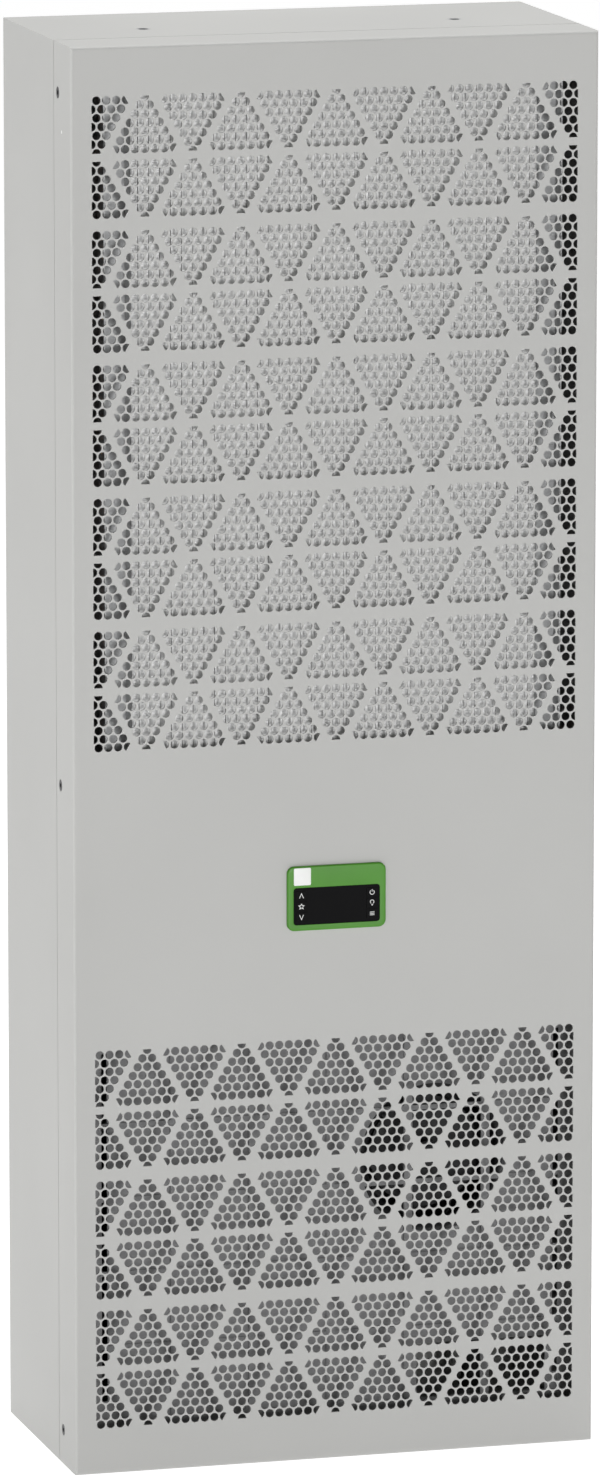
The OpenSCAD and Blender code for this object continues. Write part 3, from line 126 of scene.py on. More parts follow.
class CoverSizes(bpy.types.PropertyGroup):
    pitch: length("Hole pitch", 0.008, "Distance between neighbouring holes")
    hole: length("Hole diameter", 0.0068, "Diameter of a punched hole")
    column_pitch: length("Group pitch", 0.0391, "Distance between neighbouring triangles of holes")
    band: length("Plain band", 0.01186, "Distance between the facing hole rows of neighbouring triangles")
    pair_band: length("Pair band", 0.0164, "Distance between two pairs of rows of triangles")
    top_margin: length("Top margin", 0.0425, "Plain sheet above the upper field")
    foot_margin: length("Foot margin", 0.0385, "Plain sheet below the lower field")
    keep: FloatProperty(name="Corner share", default=0.1, min=-0.5, max=1.0,
                        description="Share of the radius that a corner hole keeps beyond its centre")
    rows: count("Rows in a group", 7, 2, 9, "Rows of holes in a triangle")
    columns: count("Groups across", 11, 3, 15, "Triangles side by side")
    upper_pairs: count("Upper pairs", 5, 1, 5, "Pairs of rows of triangles in the upper field")
    lower_pairs: count("Lower pairs", 3, 1, 3, "Pairs of rows of triangles in the lower field")
    corners: count("Corners of a hole", 16, 8, 24, "Corners of the outline of a hole")
    cutout_w: length("Cut-out width", 0.071, "Width of the cut-out behind the controller's window")
    cutout_h: length("Cut-out height", 0.029, "Height of that cut-out")


class FinSizes(bpy.types.PropertyGroup):
    columns: count("Fin columns", 38, 36, 40, "Folded fins side by side, with a flat tube between each two")
    tube: length("Flat tube", 0.0028, "Thickness of a flat tube and of the slits at both of its sides")
    step: length("Fold step", 0.0013, "Distance between the crossings of a folded fin")
    sheet: length("Fin sheet", 0.0002, "Thickness of a fin")
    rim: length("Fin rim", 0.00115, "Width of the rim to which the front edge of a fin is flared")
    flare: length("Flare depth", 0.0006, "Depth over which a fin narrows from its rim to its sheet")
    side: length("Core side", 0.0005, "Thickness of the flat strip that closes the core at each side")


class ControllerSizes(bpy.types.PropertyGroup):
    corner: length("Frame corner", 0.006, "Corner radius of the coloured frame")
    shoulder: length("Shoulder", 0.0016, "Rounding of the frame's outer edge")
    lip: length("Window edge", 0.0005, "Rounding of the frame's edge at the window")
    window_w: length("Window width", 0.0715, "Width of the visible window")
    window_h: length("Window height", 0.0301, "Height of the visible window")
    window_corner: length("Window corner", 0.0024, "Corner radius of the window")
    plate: length("Plate", 0.0142, "Side of the bare plate at the frame's upper left")
    plate_h: length("Plate height", 0.0004, "Height of the bare plate's face over the frame's")
    plate_edge: length("Plate edge", 0.0004, "Rounding of the bare plate's edge")
    plate_corner: length("Plate corner", 0.001, "Corner radius of the bare plate")
    plate_left: length("Plate at the left", 0.0053, "Distance of the bare plate from the frame's left side")
    plate_top: length("Plate at the top", 0.0012, "Distance of the bare plate from the frame's top")
    stroke: length("Symbol stroke", 0.00055, "Width of the lines of the key symbols")
    symbol: length("Symbol size", 0.0042, "Width of a key symbol")
    ink: length("Ink", 0.00008, "Height of a symbol over its key")


class TrimSizes(bpy.types.PropertyGroup):
    rivet: length("Rivet radius", 0.0024, "Radius of the blind rivet in the left side of the cover")
    rivet_depth: length("Rivet depth", 0.0287, "Distance of the rivet from the front face")
    rivet_height: length("Rivet height", 1.082, "Height of the rivet above the foot")
    rivet_proud: length("Rivet head", 0.00005, "Height of the rivet's head over the side of the cover")


class Colours(bpy.types.PropertyGroup):
    paint: colour("Casing paint", (0.56, 0.56, 0.545), "Light grey powder coat of the casing")
    grey_steel: colour("Inner sheets", (0.34, 0.34, 0.345), "Grey paint of the inner sheets")
    zinc: colour("Zinc sheet", (0.53, 0.535, 0.54), "Zinc plated sheet steel")
    fins: colour("Fins", (0.83, 0.83, 0.83), "Plain aluminium of the fins")
    copper: colour("Copper", (0.70, 0.36, 0.20), "Drawn copper tube")
    black_steel: colour("Black steel", (0.018, 0.018, 0.02), "Satin black paint")
    motor: colour("Motor", (0.24, 0.25, 0.26), "Coated motor cores")
    rubber: colour("Rubber", (0.016, 0.016, 0.016), "Black rubber and foam")
    plastic: colour("Black plastic", (0.022, 0.022, 0.024), "Moulded black plastic")
    green: colour("Frame green", (0.064, 0.268, 0.012), "Satin green plastic of the controller's frame")
    lens: colour("Window", (0.006, 0.006, 0.0065), "Smoked window of the controller")
    symbol: colour("Key symbols", (0.80, 0.81, 0.80), "Printed symbols on the keys")
    badge: colour("Bare plate", (0.92, 0.93, 0.91), "Bare plate on the controller's frame")


class StageSettings(bpy.types.PropertyGroup):
    lens: FloatProperty(name="Focal length", default=249.9, min=10.0, max=500.0,
                        description="Focal length in millimetres on a sensor whose long side is 36 mm")
    eye: FloatVectorProperty(name="Camera place", default=(-2.1847, -7.8585, 2.0798), size=3, subtype="XYZ",
                             unit="LENGTH", description="Place of the camera")
    gaze: FloatVectorProperty(name="Camera direction", default=(0.26345, 0.94738, -0.18183), size=3,
                              subtype="DIRECTION", description="Direction in which the camera looks")
    sky: FloatProperty(name="Ambient light", default=0.17, min=0.0, max=4.0,
                       description="Strength of the even light from all round")
    key: power("Front light", 172.0, "Power of the soft front light")
    side: power("Left light", 130.0, "Power of the light at the left")
    top: power("Top light", 130.0, "Power of the light above")
    floor: FloatProperty(name="Floor white", default=0.9, min=0.0, max=2.0,
                         description="Light that the camera sees from the floor itself, so that it is white")
    glow: FloatProperty(name="Floor glow", default=0.6, min=0.0, max=1.0,
                        description="Share of that white with which the floor lights the object")


class CoolingUnit(bpy.types.PropertyGroup):
    cover: PointerProperty(type=CoverSizes)
    fins: PointerProperty(type=FinSizes)
    controller: PointerProperty(type=ControllerSizes)
    trim: PointerProperty(type=TrimSizes)
    colours: PointerProperty(type=Colours)
    stage: PointerProperty(type=StageSettings)


# -------------------------------------------------------------------------------------------- shader work


class Term:
    """A node output in a material that is added, multiplied and so on like a number."""

    def __init__(self, graph, socket):
        self.graph, self.socket = graph, socket

    def maths(self, operation, *others, first=None):
        terms = (self,) + others if first is None else (first, self) + others
        return self.graph.node("ShaderNodeMath", terms, operation=operation)

    def __add__(self, other):
        return self.maths("ADD", other)

    def __sub__(self, other):
        return self.maths("SUBTRACT", other)

    def __rsub__(self, other):
        return self.maths("SUBTRACT", first=other)

    def __mul__(self, other):
        return self.maths("MULTIPLY", other)

    __radd__ = __add__
    __rmul__ = __mul__

    def ramp(self, low, high):
        """0 below low, 1 above high and a straight line between."""
        return self.graph.node("ShaderNodeMapRange", {"Value": self, "From Min": low, "From Max": high})


class Finish:
    """A material whose nodes are added one by one and read the object's own coordinates."""

    def __init__(self, name):
        self.material = bpy.data.materials.new(FINISH + name)
        self.material.use_nodes = True
        self.tree = self.material.node_tree
        self.tree.nodes.clear()
        self.place = self.node("ShaderNodeTexCoord", output="Object")

    def feed(self, socket, value):
        if isinstance(value, Term):
            self.tree.links.new(value.socket, socket)
        elif socket.type == "RGBA" and len(value) == 3:
            socket.default_value = (*value, 1.0)
        else:
            socket.default_value = value

    def node(self, kind, inputs=(), output=0, **settings):
        """One node: its settings, what goes into its sockets by name or in order, and one of its outputs."""
        node = self.tree.nodes.new(kind)
        for name, value in settings.items():
            setattr(node, name, value)
        pairs = inputs.items() if isinstance(inputs, dict) else enumerate(inputs)
        for name, value in pairs:
            self.feed(node.inputs[name], value)
        return Term(self, node.outputs[output])

    def stretched(self, x, y, z):
        """The object's coordinates times one number for each axis."""
        return self.node("ShaderNodeVectorMath", (self.place, (x, y, z)), operation="MULTIPLY")

    def noise(self, scale, detail=2.0, where=None):
        return self.node("ShaderNodeTexNoise",
                         {"Vector": where or self.place, "Scale": scale, "Detail": detail})

    def cells(self, scale, output="Distance"):
        return self.node("ShaderNodeTexVoronoi", {"Vector": self.place, "Scale": scale}, output=output)

    def mix(self, share, one, other):
        """The first colour where share is 0, the second where it is 1."""
        node = self.tree.nodes.new("ShaderNodeMix")
        node.data_type = "RGBA"
        for index, value in ((0, share), (6, one), (7, other)):
            self.feed(node.inputs[index], value)
        return Term(self, node.outputs[2])

    def bump(self, height, deep):
        return self.node("ShaderNodeBump", {"Height": height, "Distance": deep, "Strength": 1.0})

    def done(self, **sockets):
        """The shader at the end of the material; a name with an underscore stands for one with a space."""
        shader = self.tree.nodes.new("ShaderNodeBsdfPrincipled")
        for name, value in sockets.items():
            self.feed(shader.inputs[name.replace("_", " ")], value)
        out = self.tree.nodes.new("ShaderNodeOutputMaterial")
        self.tree.links.new(shader.outputs[0], out.inputs[0])
        return self.material


def shade(rgb, factor):
    """A colour made lighter or darker by a factor."""
    return tuple(min(1.0, c * factor) for c in rgb)


def powder_coat(name, rgb, rough=0.62, grain=0.00006):
    """Sprayed and baked powder: soft orange peel, fine grain in it and a very slight cloudiness."""
    f = Finish(name)
    peel, grit, cloud = f.noise(300.0), f.noise(1400.0, 1.0), f.noise(5.0, 3.0)
    tone = f.mix(cloud.ramp(0.3, 0.7), shade(rgb, 0.975), shade(rgb, 1.02))
    tone = f.mix(grit.ramp(0.35, 0.75) * 0.25, tone, shade(rgb, 0.93))
    return f.done(Base_Color=tone, Roughness=rough + (grit - 0.5) * 0.12 + (cloud - 0.5) * 0.08,
                  Specular_IOR_Level=0.3, Normal=f.bump(peel * 0.6 + grit * 0.4, grain))


def plated_sheet(name, rgb):
    """Zinc plating: flat grains of slightly different tone and gloss, with rolling lines along Z."""
    f = Finish(name)
    grain = f.node("ShaderNodeSeparateColor", (f.cells(170.0, "Color"),), output=0)
    rolled = f.noise(40.0, 4.0, f.stretched(60.0, 60.0, 1.0))
    tone = f.mix(grain, shade(rgb, 0.9), shade(rgb, 1.08))
    tone = f.mix(rolled.ramp(0.3, 0.7) * 0.3, tone, shade(rgb, 0.86))
    return f.done(Base_Color=tone, Metallic=0.3, Roughness=0.48 + grain * 0.1 + (rolled - 0.5) * 0.14,
                  Normal=f.bump(rolled + grain * 0.3, 0.00002))


def fin_sheet(name, rgb):
    """Thin bright aluminium with fine upright scratches and a little dust in soft blotches."""
    f = Finish(name)
    scratch = f.noise(60.0, 3.0, f.stretched(1.0, 30.0, 1.2))
    blotch = f.noise(45.0, 2.0)
    tone = f.mix(blotch.ramp(0.35, 0.75), rgb, shade(rgb, 0.95))
    return f.done(Base_Color=tone, Metallic=0.15, Roughness=0.5 + (scratch - 0.5) * 0.2,
                  Normal=f.bump(scratch, 0.00002))


def drawn_copper(name, rgb):
    """Drawn tube: bright along its length, dulled brown in soft patches."""
    f = Finish(name)
    patch, fine = f.noise(38.0, 4.0), f.noise(700.0, 1.0)
    dull = patch.ramp(0.45, 0.7)
    tone = f.mix(dull, rgb, (0.30, 0.13, 0.07))
    return f.done(Base_Color=tone, Metallic=1.0, Roughness=0.26 + dull * 0.22 + (fine - 0.5) * 0.08,
                  Normal=f.bump(fine, 0.00002))


def satin_black(name, rgb):
    """Thick satin black paint over a welded shell, with a slow ripple."""
    f = Finish(name)
    ripple, grit = f.noise(90.0, 2.0), f.noise(900.0, 1.0)
    return f.done(Base_Color=f.mix(ripple.ramp(0.3, 0.7), rgb, shade(rgb, 1.35)),
                  Roughness=0.36 + (grit - 0.5) * 0.15, Normal=f.bump(ripple * 0.7 + grit * 0.3, 0.00008))


def laminated(name, rgb):
    """A motor's coated core: fine sheets one behind the other along Y, and cast grain."""
    f = Finish(name)
    sheets = f.node("ShaderNodeTexWave", {"Vector": f.place, "Scale": 240.0, "Distortion": 0.3},
                    wave_type="BANDS", bands_direction="Y", output="Fac")
    grit = f.noise(420.0, 3.0)
    return f.done(Base_Color=f.mix(grit.ramp(0.35, 0.7), shade(rgb, 0.8), shade(rgb, 1.1)), Metallic=0.55,
                  Roughness=0.5 + (grit - 0.5) * 0.2, Normal=f.bump(sheets * 0.5 + grit * 0.5, 0.00007))


def rubber(name, rgb):
    """Matt rubber or foam with fine open pores."""
    f = Finish(name)
    pores, cloud = f.cells(1300.0), f.noise(60.0, 3.0)
    return f.done(Base_Color=f.mix(cloud.ramp(0.3, 0.7), rgb, shade(rgb, 1.6)),
                  Roughness=0.82 + (cloud - 0.5) * 0.12, Normal=f.bump(pores, 0.00012))


def moulded(name, rgb, rough=0.45, grain=0.00003, coat=0.0):
    """Injection-moulded plastic: an even spark-eroded grain and a faint flow pattern."""
    f = Finish(name)
    spark, flow = f.cells(2100.0), f.noise(24.0, 2.0)
    return f.done(Base_Color=f.mix(flow.ramp(0.3, 0.7), shade(rgb, 0.95), shade(rgb, 1.05)),
                  Roughness=rough + (spark - 0.4) * 0.12 + (flow - 0.5) * 0.06, Coat_Weight=coat,
                  Coat_Roughness=0.12, Normal=f.bump(spark, grain))


def polished(name, rgb, rough=0.09):
    """A smoked window or a key: smooth, with a trace of wiping in its gloss."""
    f = Finish(name)
    wiped, dust = f.noise(30.0, 3.0, f.stretched(0.4, 1.0, 1.6)), f.noise(1600.0, 1.0)
    return f.done(Base_Color=f.mix(dust.ramp(0.6, 0.8), rgb, shade(rgb, 1.6)),
                  Roughness=rough + wiped.ramp(0.4, 0.8) * 0.08, Specular_IOR_Level=0.07,
                  Normal=f.bump(wiped, 0.00001))


def printed(name, rgb):
    """Screen-printed ink: an even tone that thins a little in places."""
    f = Finish(name)
    thin = f.noise(1100.0, 2.0)
    return f.done(Base_Color=f.mix(thin.ramp(0.45, 0.75), rgb, shade(rgb, 0.8)),
                  Roughness=0.5 + (thin - 0.5) * 0.2, Normal=f.bump(thin, 0.00001))


# ------------------------------------------------------------------------------------------- surface work


def settings():
    return bpy.context.scene.cooling_unit


def piece(name, points, faces, finish, slot, *, body="casing", replaces=(), outward=True, smooth=0.5):
    """Puts points and faces into an object, turns its faces outwards, and hangs it on its body."""
    mesh = bpy.data.meshes.new(name)
    mesh.from_pydata(points.tolist(), [], faces.tolist() if isinstance(faces, np.ndarray) else faces)
    if outward:
        bm = bmesh.new()
        bm.from_mesh(mesh)
        bmesh.ops.recalc_face_normals(bm, faces=bm.faces)
        bm.to_mesh(mesh)
        bm.free()
    mesh.shade_smooth()
    mesh.set_sharp_from_angle(angle=smooth)
    mesh.materials.append(finish)
    obj = bpy.data.objects.new(name, mesh)
    bpy.context.scene.collection.objects.link(obj)
    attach(obj, body)
    if replaces:
        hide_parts(*replaces)
    return obj


def material(name):
    found = bpy.data.materials.get(FINISH + name)
    if found is None:
        raise RuntimeError(f"the finish {name} is made before the pieces that wear it")
    return found


def body_of(node):
    """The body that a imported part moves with."""
    for body, nodes in frame["record"]["behaviour"]["bodies"].items():
        if node in nodes:
            return body
    raise RuntimeError(f"{node} moves with no body")


def grid_faces(rows, columns, wrap_rows=False, wrap_columns=False):
    """The quads of a grid of points that is numbered row by row, closed round either way if asked."""
    r = np.arange(rows if wrap_rows else rows - 1)[:, None]
    c = np.arange(columns if wrap_columns else columns - 1)[None, :]
    a, b = r * columns + c, r * columns + (c + 1) % columns
    d, e = ((r + 1) % rows) * columns + c, ((r + 1) % rows) * columns + (c + 1) % columns
    return np.stack([a, b, e, d], axis=-1).reshape(-1, 4)


def rounded_outline(w, h, r, z, steps=8):
    """A rounded rectangle round (0, z): each corner is a quarter circle of radius r about its own centre."""
    turn = np.linspace(0, math.pi / 2, steps + 1)[None, :] + (np.arange(4) * math.pi / 2)[:, None]
    cx = np.array([1, -1, -1, 1])[:, None] * (w / 2 - r)
    cz = np.array([1, 1, -1, -1])[:, None] * (h / 2 - r)
    return np.stack([cx + r * np.cos(turn), z + cz + r * np.sin(turn)], axis=-1).reshape(-1, 2)


def carried(path, across, depth):
    """A profile carried along a path in the XZ plane: each point of the path is moved along the path's normal
    by each of the profile's distances across, and lies at the profile's depth there. The normal at a corner
    is the mean of its two neighbours', made longer by one over the cosine of half the turn. Both ends are
    closed with the profile itself."""
    step = path[1:] - path[:-1]
    way = step / np.maximum(np.linalg.norm(step, axis=1, keepdims=True), 1e-12)
    mean = np.concatenate([way, way[-1:]]) + np.concatenate([way[:1], way])
    normal = np.stack([-mean[:, 1], mean[:, 0]], axis=1)
    normal *= 2 / np.maximum((mean ** 2).sum(axis=1, keepdims=True), 0.6)
    flat = path[:, None, :] + normal[:, None, :] * np.asarray(across)[None, :, None]
    points = np.insert(flat, 1, np.broadcast_to(depth, flat.shape[:2]), axis=2).reshape(-1, 3)
    n = len(across)
    ends = [list(range(n)), list(range(len(points) - 1, len(points) - 1 - n, -1))]
    return points, grid_faces(len(path), n, wrap_columns=True).tolist() + ends


def joined(parts):
    """Several meshes as one: the points one after another, and the faces counted on."""
    points, faces, start = [], [], 0
    for p, f in parts:
        points.append(p)
        faces += [[start + i for i in face] for face in f]
        start += len(p)
    return np.concatenate(points), faces


def hole_layout(s):
    """Centre, first angle and sweep of every hole of the cover, the top of the lower field and the distance
    from one pair of rows of triangles to the next. A triangle has rows of 1 to 7 holes, each row moved by
    half a pitch; triangles stand upright and on their tips in turn, and the upright ones are lifted so that
    the band between them has the same width everywhere. The three corner holes of a triangle are cut
    straight across, and the triangles at both sides are cut in half upright."""
    step = s.pitch * math.sqrt(3) / 2
    tall = (s.rows - 1) * step
    lift = 2 * ((s.column_pitch - (s.rows - 1) * s.pitch / 2) * math.cos(math.pi / 6) - s.band)
    gap = s.band + tall - lift
    pair = gap + tall - lift + s.pair_band
    lower_top = s.foot_margin + (s.lower_pairs - 1) * pair + gap + tall
    fields = [(CASING_H - s.top_margin, s.upper_pairs), (lower_top, s.lower_pairs)]
    tops = np.concatenate([top - np.arange(n)[:, None] * pair - np.array([0, gap])[None, :]
                           for top, n in fields])
    top, k, r, c = np.meshgrid(tops.reshape(-1), np.arange(s.columns), np.arange(s.rows),
                               np.arange(s.rows), indexing="ij")
    odd = np.tile([0, 1], s.upper_pairs + s.lower_pairs)[:, None, None, None]
    up = (odd + k) % 2 == 1
    side = np.where(k == 0, 1, np.where(k == s.columns - 1, -1, 0))
    x = (c - (s.rows - 1 - r) / 2) * s.pitch
    z = np.where(up, r * step - tall + lift, -r * step)
    tip = r == s.rows - 1
    end = (r == 0) & ((c == 0) | (c == s.rows - 1))
    half = (side != 0) & (np.abs(side * x + s.pitch / 2) < s.pitch / 8)
    corner = np.where(tip, 90.0, np.where(c == 0, -150.0, -30.0)) * np.where(up, 1, -1)
    cut = np.where(tip | end, corner, np.where(side > 0, 180.0, 0.0))
    keep = np.where(tip | end, s.keep, 0.0)
    whole = ~(tip | end | half)
    open_angle = np.where(whole, math.pi / s.corners, np.arccos(keep))
    first = np.where(whole, 0.0, np.radians(cut)) + open_angle
    sweep = 2 * math.pi - 2 * open_angle
    real = (c <= s.rows - 1 - r) & ((side == 0) | (side * x > -s.pitch * 5 / 8))
    centre = np.stack([x + (k - (s.columns - 1) / 2) * s.column_pitch, z + top], axis=-1)
    return centre[real], first[real], sweep[real], lower_top, pair


def perforated(outline, holes):
    """A flat sheet with convex holes: the plane between the outline and all the holes is cut into triangles,
    those whose corners all lie on one hole are left out, the rest is laid down twice, at the front and at
    the back of the sheet, and each edge of the outline and the holes gets a wall between the two."""
    loops = [outline] + holes
    flat = np.concatenate(loops)
    owner = np.repeat(np.arange(len(loops)), [len(a) for a in loops])
    start = np.repeat(np.cumsum([0] + [len(a) for a in loops[:-1]]), [len(a) for a in loops])
    size = np.repeat([len(a) for a in loops], [len(a) for a in loops])
    here = np.arange(len(flat))
    after = start + (here - start + 1) % size
    edges = np.stack([here, after], axis=1).tolist()
    cut, _, tris, origin, _, _ = geometry.delaunay_2d_cdt([Vector(p) for p in flat.tolist()], edges, [], 0,
                                                          1e-7, True)
    if len(cut) != len(flat):
        raise RuntimeError("two holes of the cover meet")
    tris = np.array([ids[0] for ids in origin])[np.array(tris)]
    own = owner[tris]
    inside = (own[:, 0] == own[:, 1]) & (own[:, 1] == own[:, 2]) & (own[:, 0] > 0)
    tris = tris[~inside]
    p = flat[tris]
    area = np.cross(p[:, 1] - p[:, 0], p[:, 2] - p[:, 0])
    tris[area < 0] = tris[area < 0][:, ::-1]
    front = np.insert(flat, 1, COVER_LOW[1], axis=1)
    back = np.insert(flat, 1, COVER_HIGH[1], axis=1)
    n = len(flat)
    wall = np.stack([here, after, after + n, here + n], axis=1)
    # Twice the area that a loop encloses is above 0 where the loop runs anticlockwise.
    turn = np.zeros(len(loops))
    np.add.at(turn, owner, np.cross(flat, flat[after]))
    away = np.where(owner == 0, turn[owner] > 0, turn[owner] < 0)
    wall = np.where(away[:, None], wall[:, ::-1], wall)
    return np.concatenate([front, back]), tris.tolist() + (tris[:, ::-1] + n).tolist() + wall.tolist()


# ---------------------------------------------------------------------------------------------- operators


class UNIT_OT_finishes(bpy.types.Operator):
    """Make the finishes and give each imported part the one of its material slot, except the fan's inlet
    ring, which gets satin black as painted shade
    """

    bl_idname = "cooling_unit.finishes"
    bl_label = "Finishes"

    def execute(self, context):
        c = settings().colours
        made = {
            "casing_paint": powder_coat("casing_paint", c.paint),
            "grey_steel": powder_coat("grey_steel", c.grey_steel, 0.6, 0.00004),
            "zinc_steel": plated_sheet("zinc_steel", c.zinc),
            "fin_aluminium": fin_sheet("fin_aluminium", c.fins),
            "copper": drawn_copper("copper", c.copper),
            "black_steel": satin_black("black_steel", c.black_steel),
            "motor_steel": laminated("motor_steel", c.motor),
            "black_rubber": rubber("black_rubber", c.rubber),
            "black_plastic": moulded("black_plastic", c.plastic),
            "green_plastic": moulded("green_plastic", c.green, 0.4, 0.00002, 0.1),
            "black_lens": polished("black_lens", c.lens, 0.07),
            "black_key": polished("black_key", c.lens, 0.16),
        }
        printed("key_symbol", c.symbol)
        moulded("bare_plate", c.badge, 0.38, 0.00001)
        for part in frame["record"]["subparts"]:
            node = frame["nodes"][part["node"]]
            node.data.materials.clear()
            # The inlet ring takes satin black as painted shade in place of its slot's zinc.
            node.data.materials.append(made[PAINTED_SHADE_SLOTS.get(part["node"], part["material_slot"])])
        return {"FINISHED"}


class UNIT_OT_cover(bpy.types.Operator):
    """Punch the front sheet with its fields of triangles"""

    bl_idname = "cooling_unit.cover"
    bl_label = "Perforated cover"

    def execute(self, context):
        s = settings().cover
        centre, first, sweep, lower_top, pair = hole_layout(s)
        # The outline with few corners gets the area of the round hole.
        radius = s.hole / 2 * math.sqrt(2 * math.pi / s.corners / math.sin(2 * math.pi / s.corners))
        turn = first[:, None] + sweep[:, None] * np.linspace(0, 1, s.corners)[None, :]
        rings = centre[:, None, :] + radius * np.stack([np.cos(turn), np.sin(turn)], axis=-1)
        low, high = (COVER_LOW[0], COVER_LOW[2]), (COVER_HIGH[0], COVER_HIGH[2])
        middle = CASING_H - s.top_margin - 2 * pair + s.pair_band / 2
        levels = [low[1], (lower_top + FRAME_LOW[2]) / 2, middle, high[1]]
        mid = (WINDOW_LOW[2] + WINDOW_HIGH[2]) / 2
        corner = np.array([[-1, -1], [1, -1], [1, 1], [-1, 1]])
        cutout = corner * np.array([s.cutout_w, s.cutout_h]) / 2 + np.array([0.0, mid])
        for name, z0, z1 in zip(("cover_lower", "cover_middle", "cover_upper"), levels[:-1], levels[1:]):
            inside = (centre[:, 1] > z0) & (centre[:, 1] < z1)
            holes = list(rings[inside]) + ([cutout] if z0 < mid < z1 else [])
            x, z = np.linspace(low[0], high[0], 60), np.linspace(z0, z1, 40)
            sides = ((x[:-1], z0), (high[0], z[:-1]), (x[:0:-1], z1), (low[0], z[:0:-1]))
            outline = np.concatenate([np.stack(np.broadcast_arrays(*side), axis=1) for side in sides])
            points, faces = perforated(outline, holes)
            piece(name, points, faces, material("casing_paint"), "casing_paint", replaces=("front_cover",),
                  outward=False)
        return {"FINISHED"}


class UNIT_OT_fins(bpy.types.Operator):
    """Fold the fins of the condenser between its flat tubes"""

    bl_idname = "cooling_unit.fins"
    bl_label = "Condenser fins"

    def execute(self, context):
        s = settings().fins
        pitch = (FINS_HIGH[0] - FINS_LOW[0] + s.tube) / s.columns
        # The path goes across from tube to tube, up along the tube's wall by one step, and back again.
        k = np.arange(2 * int((FINS_HIGH[2] - FINS_LOW[2] - s.rim) / s.step))
        path = np.stack([FINS_LOW[0] + s.rim / 2 + (k + 1) // 2 % 2 * (pitch - s.tube - s.rim),
                         FINS_LOW[2] + s.rim / 2 + k // 2 * s.step], axis=1)
        half = np.array([s.rim, s.rim, s.sheet, s.sheet, s.sheet, s.sheet]) / 2 * [1, -1, -1, -1, 1, 1]
        deep = FINS_HIGH[1] - FINS_LOW[1]
        points, faces = carried(path, half, FINS_LOW[1] + np.array([0, 0, s.flare, deep, deep, s.flare]))
        shift = np.arange(s.columns)[:, None, None] * np.array([pitch, 0.0, 0.0])
        sides = (("left", FINS_LOW[0] + s.side / 2), ("right", FINS_HIGH[0] - s.side / 2))
        for (side, x), some in zip(sides, np.array_split(points[None] + shift, 2)):
            walls = np.array(faces[:-2])[None] + np.arange(len(some))[:, None, None] * len(points)
            ends = [[i + n * len(points) for i in end] for n in range(len(some)) for end in faces[-2:]]
            strip = carried(np.array([[x, FINS_LOW[2]], [x, FINS_HIGH[2]]]),
                            np.array([1, -1, -1, 1]) * s.side / 2,
                            [FINS_LOW[1], FINS_LOW[1], FINS_HIGH[1], FINS_HIGH[1]])
            core = joined([(some.reshape(-1, 3), walls.reshape(-1, 4).tolist() + ends), strip])
            piece(f"condenser_fins_{side}", *core, material("fin_aluminium"), "fin_aluminium",
                  replaces=("condenser_fins",))
        return {"FINISHED"}


